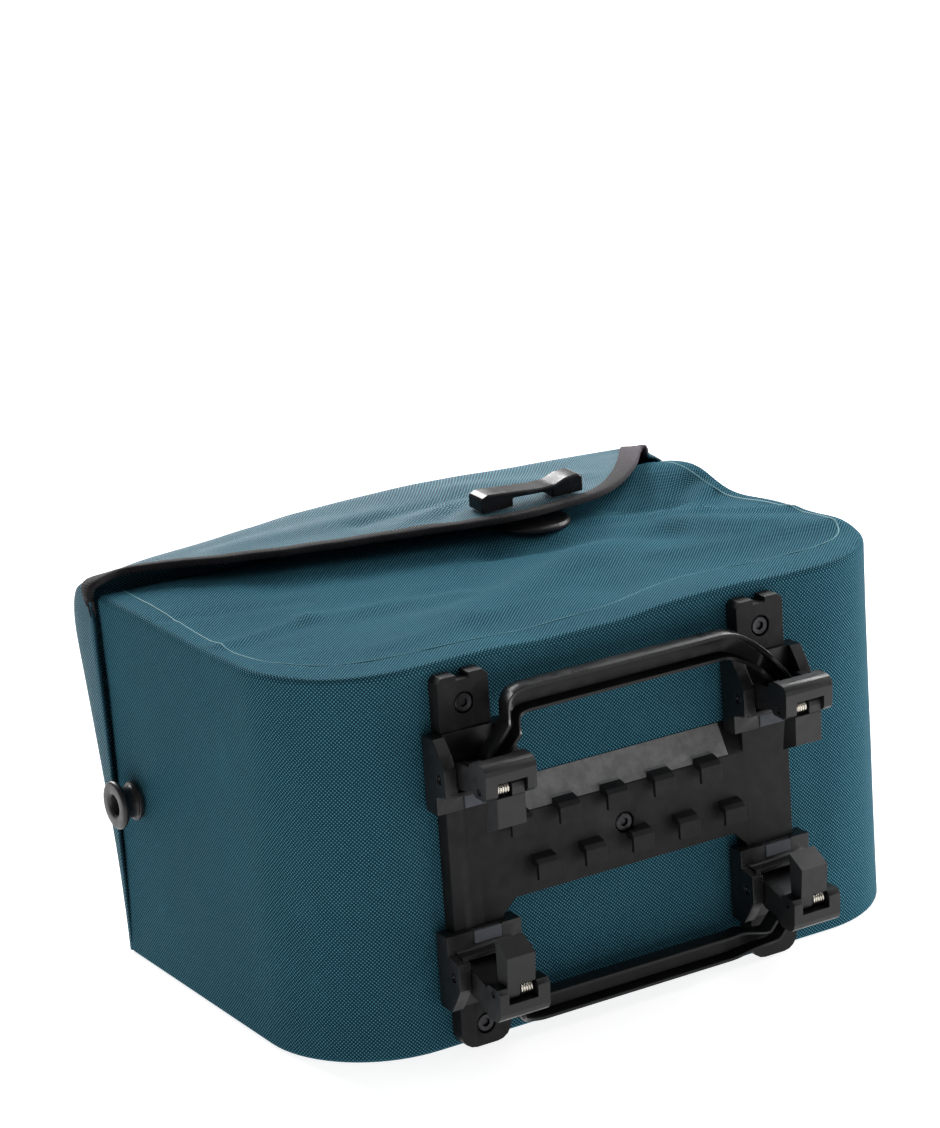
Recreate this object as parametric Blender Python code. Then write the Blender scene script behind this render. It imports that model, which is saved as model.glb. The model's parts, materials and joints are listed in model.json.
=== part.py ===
"""Bicycle rack bag lying on its long side, with a snap-on rack adapter on its base.

Metres, +Z up. The bag lies on one long wall. X runs along its length, its base faces -Y
and its lid closes the mouth at +Y. The origin is on the floor, under the middle of the body.
"""
import math
from collections import namedtuple

import bmesh
import bpy
from mathutils import Vector

MM = 0.001

# Bag body
BAG_LENGTH = 350 * MM
BAG_DEPTH = 210 * MM
BAG_HEIGHT = 192 * MM
CORNER_RADIUS = 60 * MM
EDGE_RADIUS = 8 * MM
FABRIC = 2 * MM
FOLD_HEIGHT = 6 * MM

# Clearances: between pieces that touch, and round a pin in its bore
SEAT_GAP = 0.35 * MM
PIN_GAP = 0.4 * MM

# Lid and flap
LID_RISE = 35 * MM
LID_OVERHANG = 4 * MM
LID_INSET = 13 * MM
LID_BASE = 1.3 * MM
LID_EDGE = 4 * MM
FLAP_CROWN = 11.2 * MM
FLAP_LIFT = 4.4 * MM
FLAP_REACH = 68 * MM
FLAP_HEM_LEFT = 10 * MM
FLAP_HEM_RIGHT = 5 * MM
FLAP_HEM_SLANT = 5 * MM
FLAP_CURL = 6 * MM
BINDING_WIDTH = 6 * MM
BINDING_GAP = 0.7 * MM
BINDING_THICKNESS = 0.9 * MM

# Closure on the flap
CLOSURE_X = 55 * MM
CLOSURE_BACK = 44.5 * MM
DISC_RADIUS = 20 * MM
DISC_THICKNESS = 3 * MM
BUCKLE_LENGTH = 62 * MM
BUCKLE_DEPTH = 14 * MM
BUCKLE_HEIGHT = 10 * MM
BUCKLE_FOOT = 19 * MM
BUCKLE_WINDOW = 4.6 * MM
BUCKLE_BEVEL = 0.7 * MM

# Shoulder strap studs on the two ends
STUD_RADIUS = 12.5 * MM
STUD_HOLE_RADIUS = 5.2 * MM
STUD_HEIGHT = 12 * MM
STUD_RIM = 3 * MM
STUD_NECK_RADIUS = 8 * MM
STUD_FOOT_RADIUS = 10 * MM
STUD_FROM_MOUTH = 22 * MM
STUD_LEVEL = 90 * MM

# Rack adapter plate
PLATE_OFFSET = -10 * MM
PLATE_DROP = 3 * MM
PLATE_THICKNESS = 8.65 * MM
LEG_SPACING = 168.5 * MM
LEG_WIDTH = 27.5 * MM
LEG_TOP_MARGIN = 4.5 * MM
LEG_BOTTOM_MARGIN = 1.5 * MM
LEG_CHAMFER = 2.5 * MM
LEG_END_RADIUS = 8 * MM
LEG_NOTCH = 7 * MM
BRIDGE_ABOVE = 19 * MM
BRIDGE_BELOW = 22 * MM
BRIDGE_UPPER_FLANK = 15 * MM
BRIDGE_LOWER_FLANK = 3 * MM
BRIDGE_GUSSET = 7 * MM
TAB_PITCH = 27 * MM
TAB_WIDTH = 12 * MM
TAB_HEIGHT = 12 * MM
TAB_OUT = 7 * MM
TAB_LIP = 2 * MM
TAB_ROWS = ((-7 * MM, 17 * MM), (6 * MM, -8 * MM))
TABS_PER_ROW = 5
SCREW_REACH = 80.5 * MM
SCREW_RADIUS = 4.6 * MM
SCREW_HEIGHT = 2 * MM
SCREW_SOCKET = 2 * MM
RECESS_DEPTH = 2.6 * MM

# Clamp brackets. "Out" is measured from the plate's face, "along" from the plate's middle.
BRACKET_WIDTH = 41 * MM
BRACKET_WRAP = 6 * MM
BRACKET_TOP = 68 * MM
JAW_FROM = 30.5 * MM
JAW_TO = 39.6 * MM
JAW_OUT = 4 * MM
LEDGE_OUT = 10.5 * MM
LEDGE_THICKNESS = 2.2 * MM
BACK_PLATE = 1.2 * MM
BLOCK_OUT = 13 * MM
BLOCK_TO = 55 * MM
SHOULDER_ALONG = 62 * MM
SHOULDER_OUT = 8.5 * MM
PAD_WIDTH = 15 * MM
PAD_SHIFT = 1.75 * MM
PAD_THICKNESS = 2 * MM
PAD_PROUD = 0.6 * MM
PIN_OUT = 7.5 * MM
PIN_ALONG = 49.5 * MM
PIN_RADIUS = 2 * MM

# Swinging arms with an end block
ARM_BARREL_RADIUS = 5.4 * MM
ARM_CHEEK = 4 * MM
ARM_WEB = 2.5 * MM
ARM_TOP = 58.5 * MM
ARM_LUG = 62 * MM
BLOCK_FROM_OUT = 28 * MM
BLOCK_TO_OUT = 38 * MM
BLOCK_LOW = 46.5 * MM
BLOCK_HIGH = 63.5 * MM
BLOCK_ROUND = 4.5 * MM
SLOT_WIDTH = 16 * MM
SLOT_SHIFT = 0.75 * MM

# Spring-loaded tongues
TONGUE_OUT = 32 * MM
TONGUE_ALONG = 50 * MM
TONGUE_BARREL_RADIUS = 4.15 * MM
TONGUE_BARREL_WIDTH = 6.9 * MM
TONGUE_TIP_ALONG = 26 * MM
TONGUE_TIP_OUT = 26 * MM
TONGUE_FRONT_ALONG = 31.5 * MM
TONGUE_PIN_RADIUS = 1.4 * MM
SPRING_RADIUS = 2.6 * MM
SPRING_WIRE = 0.55 * MM
SPRING_TURNS = 3.5

# Release bails
BAIL_HEIGHT = 13.5 * MM
BAIL_DEPTH = 9 * MM
BAIL_WALL = 2 * MM
BAIL_ALONG = 78.5 * MM
BAIL_BAR_OUT = -0.5 * MM
BAIL_LEG_OUT = 12.5 * MM
BAIL_LEG_WIDTH = 10 * MM
BAIL_SPLAY = 19.5 * MM
BAIL_TOE = 3 * MM
BAIL_BEND = 11 * MM
RELEASE_SAG = math.radians(4)

# Fineness of the curved surfaces
ARC_STEPS = 6
FRONT_STEPS = 10
SIDE_STEPS = 8
WALL_STEPS = 5
EDGE_STEPS = 2
LID_STEPS = 14
FLAP_STEPS = 4
ROUND_SIDES = 12
STUD_SIDES = 16
DISC_SIDES = 24
BEND_STEPS = 5

# Places that follow from the sizes above
HALF_LENGTH = BAG_LENGTH / 2
MOUTH_Y = BAG_DEPTH / 2
BASE_Y = -BAG_DEPTH / 2
PLATE_BACK_Y = BASE_Y - SEAT_GAP
PLATE_FRONT_Y = PLATE_BACK_Y - PLATE_THICKNESS
PLATE_Z = BAG_HEIGHT / 2 - PLATE_DROP
CHEEK_INSIDE = LEG_WIDTH / 2 + PIN_GAP

# Folds of the upper wall: ends as shares of the half length and half depth, width as a
# share of the depth, rise as a share of the fold height
Fold = namedtuple("Fold", "name x0 y0 x1 y1 width rise")
FOLDS = (
    Fold("ridge_from_closure", 0.64, 0.08, 0.92, -0.42, 0.07, 0.45),
    Fold("rear_dent", 0.72, 0.58, 0.88, 0.42, 0.13, -0.90),
    Fold("left_hollow", -0.75, 0.00, -0.10, 0.05, 0.20, -0.60),
    Fold("front_hollow", 0.15, -0.55, 0.60, -0.60, 0.10, -0.35),
    Fold("crease_sag", -0.20, -1.00, 0.02, -1.00, 0.12, -0.35),
    Fold("crease_crest", 0.14, -1.00, 0.40, -1.00, 0.08, 0.22),
)

# Back of the lid from its hinge to the ridge: level as a share of the bag's height, stand-off
# as a share of the lid's rise, lift as a share of the flap's crown, left as a share of the
# overhang, right as a share of the inset
LidRow = namedtuple("LidRow", "level stand_off lift left right")
LID_ROWS = (
    LidRow(0.000, 0.090, 0.00, 0.00, 0.00),
    LidRow(0.120, 0.130, 0.00, 0.10, 0.00),
    LidRow(0.300, 0.240, 0.00, 0.30, 0.00),
    LidRow(0.520, 0.420, 0.00, 0.55, 0.00),
    LidRow(0.710, 0.690, 0.08, 0.80, 0.03),
    LidRow(0.860, 0.950, 0.30, 1.00, 0.12),
    LidRow(0.930, 1.000, 0.65, 1.00, 0.30),
    LidRow(0.985, 0.900, 0.88, 1.00, 0.58),
    LidRow(1.015, 0.690, 0.97, 1.00, 0.82),
    LidRow(1.027, 0.430, 1.00, 1.00, 1.00),
)
TURN_ROW = 6

# The flap across the lid: place as a share of the bag's half length, crown as a share of the
# crown height, reach from the mouth as a share of the flap's reach, curl as a share of the
# curl
FlapColumn = namedtuple("FlapColumn", "place crown reach curl")
FLAP_COLUMNS = (
    FlapColumn(-1.02, 0.00, -0.05, 0.12),
    FlapColumn(-0.90, 0.16, -0.07, 0.53),
    FlapColumn(-0.80, 0.29, 0.04, 0.70),
    FlapColumn(-0.63, 0.44, 0.28, 0.78),
    FlapColumn(-0.45, 0.64, 0.45, 0.80),
    FlapColumn(-0.25, 0.88, 0.58, 0.78),
    FlapColumn(-0.06, 0.95, 0.70, 0.78),
    FlapColumn(0.10, 0.96, 0.81, 0.78),
    FlapColumn(0.25, 0.88, 0.87, 0.78),
    FlapColumn(0.48, 0.72, 0.80, 0.78),
    FlapColumn(0.58, 0.67, 0.72, 0.78),
    FlapColumn(0.68, 0.61, 0.54, 0.82),
    FlapColumn(0.78, 0.52, 0.28, 0.90),
    FlapColumn(0.90, 0.40, -0.08, 1.00),
)

# Upper outline of the buckle: place as a share of its half length, height as a share of its
# height
BuckleRow = namedtuple("BuckleRow", "place height")
BUCKLE_ROWS = (
    BuckleRow(-1.00, 0.75),
    BuckleRow(-0.87, 0.92),
    BuckleRow(-0.32, 0.78),
    BuckleRow(0.16, 0.66),
    BuckleRow(0.45, 0.68),
    BuckleRow(0.65, 0.92),
    BuckleRow(0.90, 1.00),
    BuckleRow(1.00, 0.85),
)

Finish = namedtuple("Finish", "colour roughness metallic")
FINISHES = {
    "coated_fabric": Finish((0.045, 0.150, 0.195), 0.50, 0.0),
    "edge_binding": Finish((0.018, 0.016, 0.018), 0.75, 0.0),
    "black_plastic": Finish((0.018, 0.018, 0.020), 0.45, 0.0),
    "grey_rubber": Finish((0.070, 0.078, 0.095), 0.70, 0.0),
    "buckle_plastic": Finish((0.060, 0.055, 0.065), 0.35, 0.0),
    "steel": Finish((0.560, 0.550, 0.530), 0.28, 1.0),
    "dark_steel": Finish((0.050, 0.050, 0.052), 0.35, 1.0),
}


def clear_scene():
    for item in list(bpy.data.objects):
        bpy.data.objects.remove(item, do_unlink=True)


def finish_material(name):
    """The named finish as a material, made on first use."""
    material = bpy.data.materials.get(name)
    if material is None:
        finish = FINISHES[name]
        material = bpy.data.materials.new(name)
        material.use_nodes = True
        shader = material.node_tree.nodes["Principled BSDF"]
        shader.inputs["Base Color"].default_value = (*finish.colour, 1.0)
        shader.inputs["Roughness"].default_value = finish.roughness
        shader.inputs["Metallic"].default_value = finish.metallic
        material.diffuse_color = (*finish.colour, 1.0)
    return material


def add_object(name, mesh, finish, parent=None, location=(0, 0, 0)):
    """Put a mesh in the scene as a named piece with its own material."""
    mesh.name = name
    mesh.materials.clear()
    mesh.materials.append(finish_material(finish))
    piece = bpy.data.objects.new(name, mesh)
    bpy.context.scene.collection.objects.link(piece)
    piece.location = location
    piece.parent = parent
    return piece


def add_empty(name, location, parent=None, turn=0.0):
    """An empty on a joint's axis, turned about X."""
    empty = bpy.data.objects.new(name, None)
    bpy.context.scene.collection.objects.link(empty)
    empty.location = location
    empty.rotation_euler = (turn, 0, 0)
    empty.parent = parent
    return empty


def mesh_from(bm, smooth_angle=None):
    mesh = bpy.data.meshes.new("shape")
    bm.to_mesh(mesh)
    bm.free()
    if smooth_angle is not None:
        mesh.shade_smooth()
        mesh.set_sharp_from_angle(angle=smooth_angle)
    return mesh


def prism(outline, start, end, axis="X"):
    """Extrude a closed outline along an axis. The outline lies in the plane across it."""
    place = {
        "X": lambda a, b: Vector((start, a, b)),
        "Y": lambda a, b: Vector((a, start, b)),
        "Z": lambda a, b: Vector((a, b, start)),
    }[axis]
    step = {"X": Vector((1, 0, 0)), "Y": Vector((0, 1, 0)), "Z": Vector((0, 0, 1))}[axis]
    bm = bmesh.new()
    face = bm.faces.new([bm.verts.new(place(a, b)) for a, b in outline])
    moved = bmesh.ops.extrude_face_region(bm, geom=[face])["geom"]
    corners = [item for item in moved if isinstance(item, bmesh.types.BMVert)]
    bmesh.ops.translate(bm, verts=corners, vec=step * (end - start))
    bmesh.ops.recalc_face_normals(bm, faces=bm.faces[:])
    return mesh_from(bm)


def arc(centre, radius, start, end, steps):
    """Points on a circle between two angles in degrees."""
    points = []
    for step in range(steps + 1):
        angle = math.radians(start + (end - start) * step / steps)
        points.append((centre[0] + radius * math.cos(angle), centre[1] + radius * math.sin(angle)))
    return points


def circle(centre, radius, sides):
    return arc(centre, radius, 0, 360 - 360 / sides, sides - 1)


def round_bar(centre, radius, start, end, axis="X", sides=ROUND_SIDES):
    return prism(circle(centre, radius, sides), start, end, axis)


def fuse(solids, cutters=()):
    """Join solids into one body, cut it, and return the mesh."""
    jobs = [(mesh, "UNION") for mesh in solids[1:]] + [(mesh, "DIFFERENCE") for mesh in cutters]
    base = bpy.data.objects.new("base", solids[0])
    bpy.context.scene.collection.objects.link(base)
    helpers = []
    for mesh, operation in jobs:
        helper = bpy.data.objects.new("helper", mesh)
        bpy.context.scene.collection.objects.link(helper)
        modifier = base.modifiers.new("join", "BOOLEAN")
        modifier.operation = operation
        modifier.object = helper
        helpers.append(helper)
    graph = bpy.context.evaluated_depsgraph_get()
    mesh = bpy.data.meshes.new_from_object(base.evaluated_get(graph))
    for item in [base, *helpers]:
        bpy.data.objects.remove(item, do_unlink=True)
    return mesh


def lathe(profile, sides):
    """Turn (along, radius) pairs about the X axis. A zero radius closes the profile's ends."""
    bm = bmesh.new()
    rings = []
    for along, radius in profile:
        if radius == 0:
            rings.append([bm.verts.new((along, 0, 0))])
        else:
            rings.append([bm.verts.new((along, a, b)) for a, b in circle((0, 0), radius, sides)])
    for first, second in zip(rings, rings[1:]):
        for side in range(sides):
            after = (side + 1) % sides
            corners = [first[side % len(first)], first[after % len(first)],
                       second[after % len(second)], second[side % len(second)]]
            bm.faces.new(list(dict.fromkeys(corners)))
    bmesh.ops.recalc_face_normals(bm, faces=bm.faces[:])
    return mesh_from(bm, math.radians(40))


def smooth_table(rows, place, value, at):
    """Read a table column with smooth steps between its rows."""
    if at <= getattr(rows[0], place):
        return getattr(rows[0], value)
    for before, after in zip(rows, rows[1:]):
        low, high = getattr(before, place), getattr(after, place)
        if at <= high:
            share = (at - low) / (high - low)
            share = 0.5 * (share + share * share * (3 - 2 * share))
            return getattr(before, value) * (1 - share) + getattr(after, value) * share
    return getattr(rows[-1], value)


def lerp(first, second, share):
    return first * (1 - share) + second * share


def fold_shift(x, y):
    """How far the folds lift or sink the upper wall."""
    shift = 0.0
    point = Vector((x, y))
    for fold in FOLDS:
        start = Vector((fold.x0 * HALF_LENGTH, fold.y0 * MOUTH_Y))
        run = Vector((fold.x1 * HALF_LENGTH, fold.y1 * MOUTH_Y)) - start
        share = min(max((point - start).dot(run) / run.length_squared, 0), 1)
        distance = (point - start - run * share).length
        shift += fold.rise * FOLD_HEIGHT * math.exp(-(distance / (fold.width * BAG_DEPTH)) ** 2)
    return shift


def front_outline(inset):
    """The round front corners and the straight base between them, left to right."""
    radius = CORNER_RADIUS - inset
    straight = HALF_LENGTH - CORNER_RADIUS
    centre_y = BASE_Y + CORNER_RADIUS
    left = arc((-straight, centre_y), radius, 180, 270, ARC_STEPS)
    right = arc((straight, centre_y), radius, 270, 360, ARC_STEPS)
    across = [(lerp(-straight, straight, step / FRONT_STEPS), BASE_Y + inset)
              for step in range(1, FRONT_STEPS)]
    return left + across + right


def wall_point(bm, x, y, z):
    """A vertex of the body; the folds fade out down the walls."""
    fade = max((z / BAG_HEIGHT - 0.6) / 0.4, 0) ** 2
    return bm.verts.new((x, y, z + fade * fold_shift(x, y)))


def body_panel(bm, inset, z):
    """A grid of vertices for a large wall: columns from the base to the mouth."""
    outline = front_outline(inset)
    half = HALF_LENGTH - inset
    grid = []
    for index, (x, y) in enumerate(outline):
        mouth_x = lerp(-half, half, index / (len(outline) - 1))
        column = []
        for row in range(SIDE_STEPS + 1):
            share = row / SIDE_STEPS
            column.append(wall_point(bm, lerp(x, mouth_x, share), lerp(y, MOUTH_Y, share), z))
        grid.append(column)
    return grid


def panel_border(grid):
    """The panel's edge from the mouth round the base and back to the mouth."""
    return grid[0][:0:-1] + [column[0] for column in grid] + grid[-1][1:]


def body_ring(bm, inset, z):
    """One level of the strip that runs round both ends and the base."""
    outline = front_outline(inset)
    (left_x, left_y), (right_x, right_y) = outline[0], outline[-1]
    ring = []
    for row in range(SIDE_STEPS, 0, -1):
        ring.append(wall_point(bm, left_x, lerp(left_y, MOUTH_Y, row / SIDE_STEPS), z))
    ring += [wall_point(bm, x, y, z) for x, y in outline]
    for row in range(1, SIDE_STEPS + 1):
        ring.append(wall_point(bm, right_x, lerp(right_y, MOUTH_Y, row / SIDE_STEPS), z))
    return ring


def bridge(bm, first, second):
    for index in range(len(first) - 1):
        bm.faces.new((first[index], first[index + 1], second[index + 1], second[index]))


def make_body():
    """The bag: a sewn shell, open at its mouth."""
    bm = bmesh.new()
    top = body_panel(bm, EDGE_RADIUS, BAG_HEIGHT)
    bottom = body_panel(bm, EDGE_RADIUS, 0)
    rings = [panel_border(top)]
    for step in range(1, EDGE_STEPS + 1):
        angle = math.pi / 2 * step / EDGE_STEPS
        inset = EDGE_RADIUS * (1 - math.sin(angle))
        rings.append(body_ring(bm, inset, BAG_HEIGHT - EDGE_RADIUS * (1 - math.cos(angle))))
    for step in range(1, WALL_STEPS + 1):
        rings.append(body_ring(bm, 0, lerp(BAG_HEIGHT - EDGE_RADIUS, EDGE_RADIUS, step / WALL_STEPS)))
    for step in range(1, EDGE_STEPS):
        angle = math.pi / 2 * step / EDGE_STEPS
        rings.append(body_ring(bm, EDGE_RADIUS * (1 - math.cos(angle)), EDGE_RADIUS * (1 - math.sin(angle))))
    rings.append(panel_border(bottom))
    for grid in (top, bottom):
        for first, second in zip(grid, grid[1:]):
            bridge(bm, first, second)
    for first, second in zip(rings, rings[1:]):
        bridge(bm, first, second)
    bmesh.ops.recalc_face_normals(bm, faces=bm.faces[:])
    top_face = top[1][1].link_faces[0]
    if top_face.normal.z < 0:
        bmesh.ops.reverse_faces(bm, faces=bm.faces[:])
    body = add_object("bag_body", mesh_from(bm, math.radians(50)), "coated_fabric")
    thicken(body, -1)
    return body


def thicken(piece, offset):
    """Give a sheet the fabric's thickness: offset -1 is inward, 0 is to both sides."""
    wall = piece.modifiers.new("fabric", "SOLIDIFY")
    wall.thickness = FABRIC
    wall.offset = offset
    wall.use_even_offset = True
    return wall


def flap_value(column, x):
    return smooth_table(FLAP_COLUMNS, "place", column, x / HALF_LENGTH)


def flap_edge(x):
    """The middle of the flap's free edge at x."""
    y = MOUTH_Y + SEAT_GAP - flap_value("reach", x) * FLAP_REACH
    z = BAG_HEIGHT + FLAP_LIFT + FABRIC / 2 + flap_value("curl", x) * FLAP_CURL
    return Vector((x, y, z))


def lid_level(row):
    """The height of the lid's cloth on a row, without the crown."""
    return lerp(LID_BASE, BAG_HEIGHT + FLAP_LIFT, row.level / LID_ROWS[-1].level)


def lid_row_point(row, x):
    """The middle of the lid's cloth at x on one of the rows from hinge to ridge."""
    y = MOUTH_Y + SEAT_GAP + FABRIC / 2 + row.stand_off * (LID_RISE - FABRIC)
    return Vector((x, y, lid_level(row) + row.lift * flap_value("crown", x) * FLAP_CROWN))


def lid_section(index):
    """One line of the lid across the bag, with the returns that close its two ends."""
    rows = len(LID_ROWS)
    row = LID_ROWS[min(index, rows - 1)]
    seam = HALF_LENGTH - FABRIC / 2
    left = -(seam + row.left * (LID_OVERHANG + FABRIC / 2))
    right = seam - row.right * LID_INSET
    share = max(index - rows + 1, 0) / FLAP_STEPS
    middle = []
    for step in range(LID_STEPS + 1):
        x = lerp(left + LID_EDGE, right - LID_EDGE, step / LID_STEPS)
        middle.append(lid_row_point(row, x).lerp(flap_edge(x), share))
    ends = []
    hem_share = max((index - TURN_ROW) / (rows - 1 + FLAP_STEPS - TURN_ROW), 0)
    for x, last, hem, slant in ((left, middle[0], FLAP_HEM_LEFT, FLAP_HEM_SLANT),
                                (right, middle[-1], FLAP_HEM_RIGHT, 0)):
        edge = flap_edge(x)
        turn = Vector((x, MOUTH_Y + SEAT_GAP, min(last.z, lid_level(LID_ROWS[TURN_ROW]))))
        tip = turn.lerp(Vector((x, edge.y + slant, edge.z - hem)), hem_share)
        corner = Vector((x, last.y, last.z))
        fold = min(LID_EDGE, (tip - corner).length / 2)
        ends.append((tip, corner + (tip - corner).normalized() * fold))
    (left_tip, left_fold), (right_tip, right_fold) = ends
    return [left_tip, left_fold, *middle, right_fold, right_tip]


def make_lid():
    """The lid: a shallow cap over the mouth that runs on into the closing flap."""
    sections = [lid_section(index) for index in range(len(LID_ROWS) + FLAP_STEPS)]
    bm = bmesh.new()
    grid = [[bm.verts.new(point) for point in section] for section in sections]
    for first, second in zip(grid, grid[1:]):
        bridge(bm, first, second)
    bmesh.ops.recalc_face_normals(bm, faces=bm.faces[:])
    lid = add_object("lid", mesh_from(bm, math.radians(50)), "coated_fabric")
    thicken(lid, 0)
    return sections


def make_binding(sections):
    """The folded tape that grips the flap's free edge from both sides."""
    ridge, inside, edge = (sections[index] for index in (-1 - FLAP_STEPS, -2, -1))
    slot = FABRIC / 2 + BINDING_GAP
    outer = slot + BINDING_THICKNESS
    back = BINDING_GAP + BINDING_THICKNESS
    bm = bmesh.new()
    rings = []
    for index in range(3, len(edge) - 3):
        point = edge[index]
        tangent = (edge[index + 1] - edge[index - 1]).normalized()
        inward = (inside[index] - point).normalized()
        normal = tangent.cross(inward).normalized()
        slant = (inward - tangent * inward.dot(tangent)).length
        width = min(BINDING_WIDTH / slant, 0.6 * (ridge[index] - point).length)
        profile = ((-back, -outer), (width, -outer), (width, -slot), (-BINDING_GAP, -slot),
                   (-BINDING_GAP, slot), (width, slot), (width, outer), (-back, outer))
        rings.append([bm.verts.new(point + inward * a + normal * b) for a, b in profile])
    for first, second in zip(rings, rings[1:]):
        bridge(bm, first + first[:1], second + second[:1])
    caps = [bm.faces.new(rings[0]), bm.faces.new(rings[-1])]
    bm.normal_update()
    bmesh.ops.triangulate(bm, faces=caps, ngon_method="EAR_CLIP")
    bmesh.ops.recalc_face_normals(bm, faces=bm.faces[:])
    add_object("flap_binding", mesh_from(bm, math.radians(40)), "edge_binding")


def make_closure():
    """The round catch on the bag's wall, and the arched buckle on the flap above it."""
    disc_y = MOUTH_Y - CLOSURE_BACK
    disc_z = BAG_HEIGHT + SEAT_GAP
    round_edge = DISC_THICKNESS * 0.4
    bm = bmesh.new()
    rings = []
    for inset, height in ((0, 0), (0, DISC_THICKNESS - round_edge), (round_edge, DISC_THICKNESS)):
        outline = circle((CLOSURE_X, disc_y), DISC_RADIUS - inset, DISC_SIDES)
        rings.append([bm.verts.new((x, y, disc_z + height)) for x, y in outline])
    for first, second in zip(rings, rings[1:]):
        bridge(bm, first + first[:1], second + second[:1])
    bm.faces.new(rings[0])
    bm.faces.new(rings[-1])
    bmesh.ops.recalc_face_normals(bm, faces=bm.faces[:])
    add_object("closure_disc", mesh_from(bm, math.radians(40)), "black_plastic")

    half = BUCKLE_LENGTH / 2
    window = half - BUCKLE_FOOT
    outline = [(row.place * half, row.height * BUCKLE_HEIGHT) for row in BUCKLE_ROWS]
    outline = [(-half, 0), *outline, (half, 0), (window, 0), (window, BUCKLE_WINDOW * 0.8),
               (-window, BUCKLE_WINDOW), (-window, 0)]
    mesh = prism(outline, -BUCKLE_DEPTH / 2, BUCKLE_DEPTH / 2, "Y")
    buckle = add_object("closure_buckle", mesh, "buckle_plastic")
    bevel = buckle.modifiers.new("soft_edges", "BEVEL")
    bevel.width = BUCKLE_BEVEL
    bevel.segments = 1
    bevel.limit_method = "ANGLE"
    bevel.angle_limit = math.radians(35)
    seat_buckle(buckle)


def seat_buckle(buckle):
    """Lay the buckle on the flap behind its binding, leaning with the cloth."""
    spots = [CLOSURE_X + BUCKLE_LENGTH / 2 * (step / 4 - 1) for step in range(9)]
    edge_y = max(flap_edge(x).y for x in spots)
    y = edge_y + BINDING_WIDTH + BUCKLE_DEPTH / 2 + 2 * SEAT_GAP
    ridge = lid_row_point(LID_ROWS[-1], CLOSURE_X)
    edge = flap_edge(CLOSURE_X)
    slope = (ridge.z - edge.z) / (ridge.y - edge.y)
    heights = []
    for x in spots:
        edge = flap_edge(x)
        ridge = lid_row_point(LID_ROWS[-1], x)
        heights.append(lerp(edge.z, ridge.z, (y - edge.y) / (ridge.y - edge.y)))
    lean = math.atan(slope)
    buckle.location = (CLOSURE_X, y, max(heights) + (FABRIC / 2 + 2 * SEAT_GAP) / math.cos(lean))
    buckle.rotation_euler = (lean, 0, 0)


def make_studs():
    """Mushroom studs for a shoulder strap, one on each end of the bag."""
    foot = STUD_RIM * 0.6
    head = STUD_HEIGHT - STUD_RIM
    profile = ((0, 0), (0, STUD_FOOT_RADIUS), (foot, STUD_FOOT_RADIUS), (foot, STUD_NECK_RADIUS),
               (head - STUD_RIM * 0.6, STUD_NECK_RADIUS), (head, STUD_RADIUS),
               (STUD_HEIGHT - STUD_RIM * 0.3, STUD_RADIUS),
               (STUD_HEIGHT, STUD_RADIUS - STUD_RIM * 0.4),
               (STUD_HEIGHT, STUD_HOLE_RADIUS + STUD_RIM * 0.3),
               (STUD_HEIGHT - STUD_RIM * 0.4, STUD_HOLE_RADIUS), (foot, STUD_HOLE_RADIUS), (foot, 0))
    for name, side in (("strap_stud_left", -1), ("strap_stud_right", 1)):
        mesh = lathe(profile, STUD_SIDES)
        place = (side * (HALF_LENGTH + SEAT_GAP), MOUTH_Y - STUD_FROM_MOUTH, STUD_LEVEL)
        stud = add_object(name, mesh, "black_plastic", location=place)
        stud.rotation_euler = (0, 0, 0 if side > 0 else math.pi)


def leg_outline(x):
    """A leg of the plate seen from the front: chamfered and notched top, round foot."""
    half = LEG_WIDTH / 2
    top = BAG_HEIGHT - LEG_TOP_MARGIN
    bottom = LEG_BOTTOM_MARGIN
    notch = LEG_NOTCH / 2
    right_foot = arc((x + half - LEG_END_RADIUS, bottom + LEG_END_RADIUS), LEG_END_RADIUS, 270, 360, 4)
    left_foot = arc((x - half + LEG_END_RADIUS, bottom + LEG_END_RADIUS), LEG_END_RADIUS, 180, 270, 4)
    crown = [(x + half, top - LEG_CHAMFER), (x + half - LEG_CHAMFER, top), (x + notch, top),
             (x + notch, top - LEG_CHAMFER), (x - notch, top - LEG_CHAMFER), (x - notch, top),
             (x - half + LEG_CHAMFER, top), (x - half, top - LEG_CHAMFER)]
    return right_foot + crown + left_foot


def leg_places():
    """The middle of each leg in X."""
    return {"left": PLATE_OFFSET - LEG_SPACING / 2, "right": PLATE_OFFSET + LEG_SPACING / 2}


def screw_places():
    places = {"centre_screw": (PLATE_OFFSET, PLATE_Z)}
    for level, sign in (("upper", 1), ("lower", -1)):
        for side, x in leg_places().items():
            places["leg_screw_%s_%s" % (level, side)] = (x, PLATE_Z + sign * SCREW_REACH)
    return places


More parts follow.
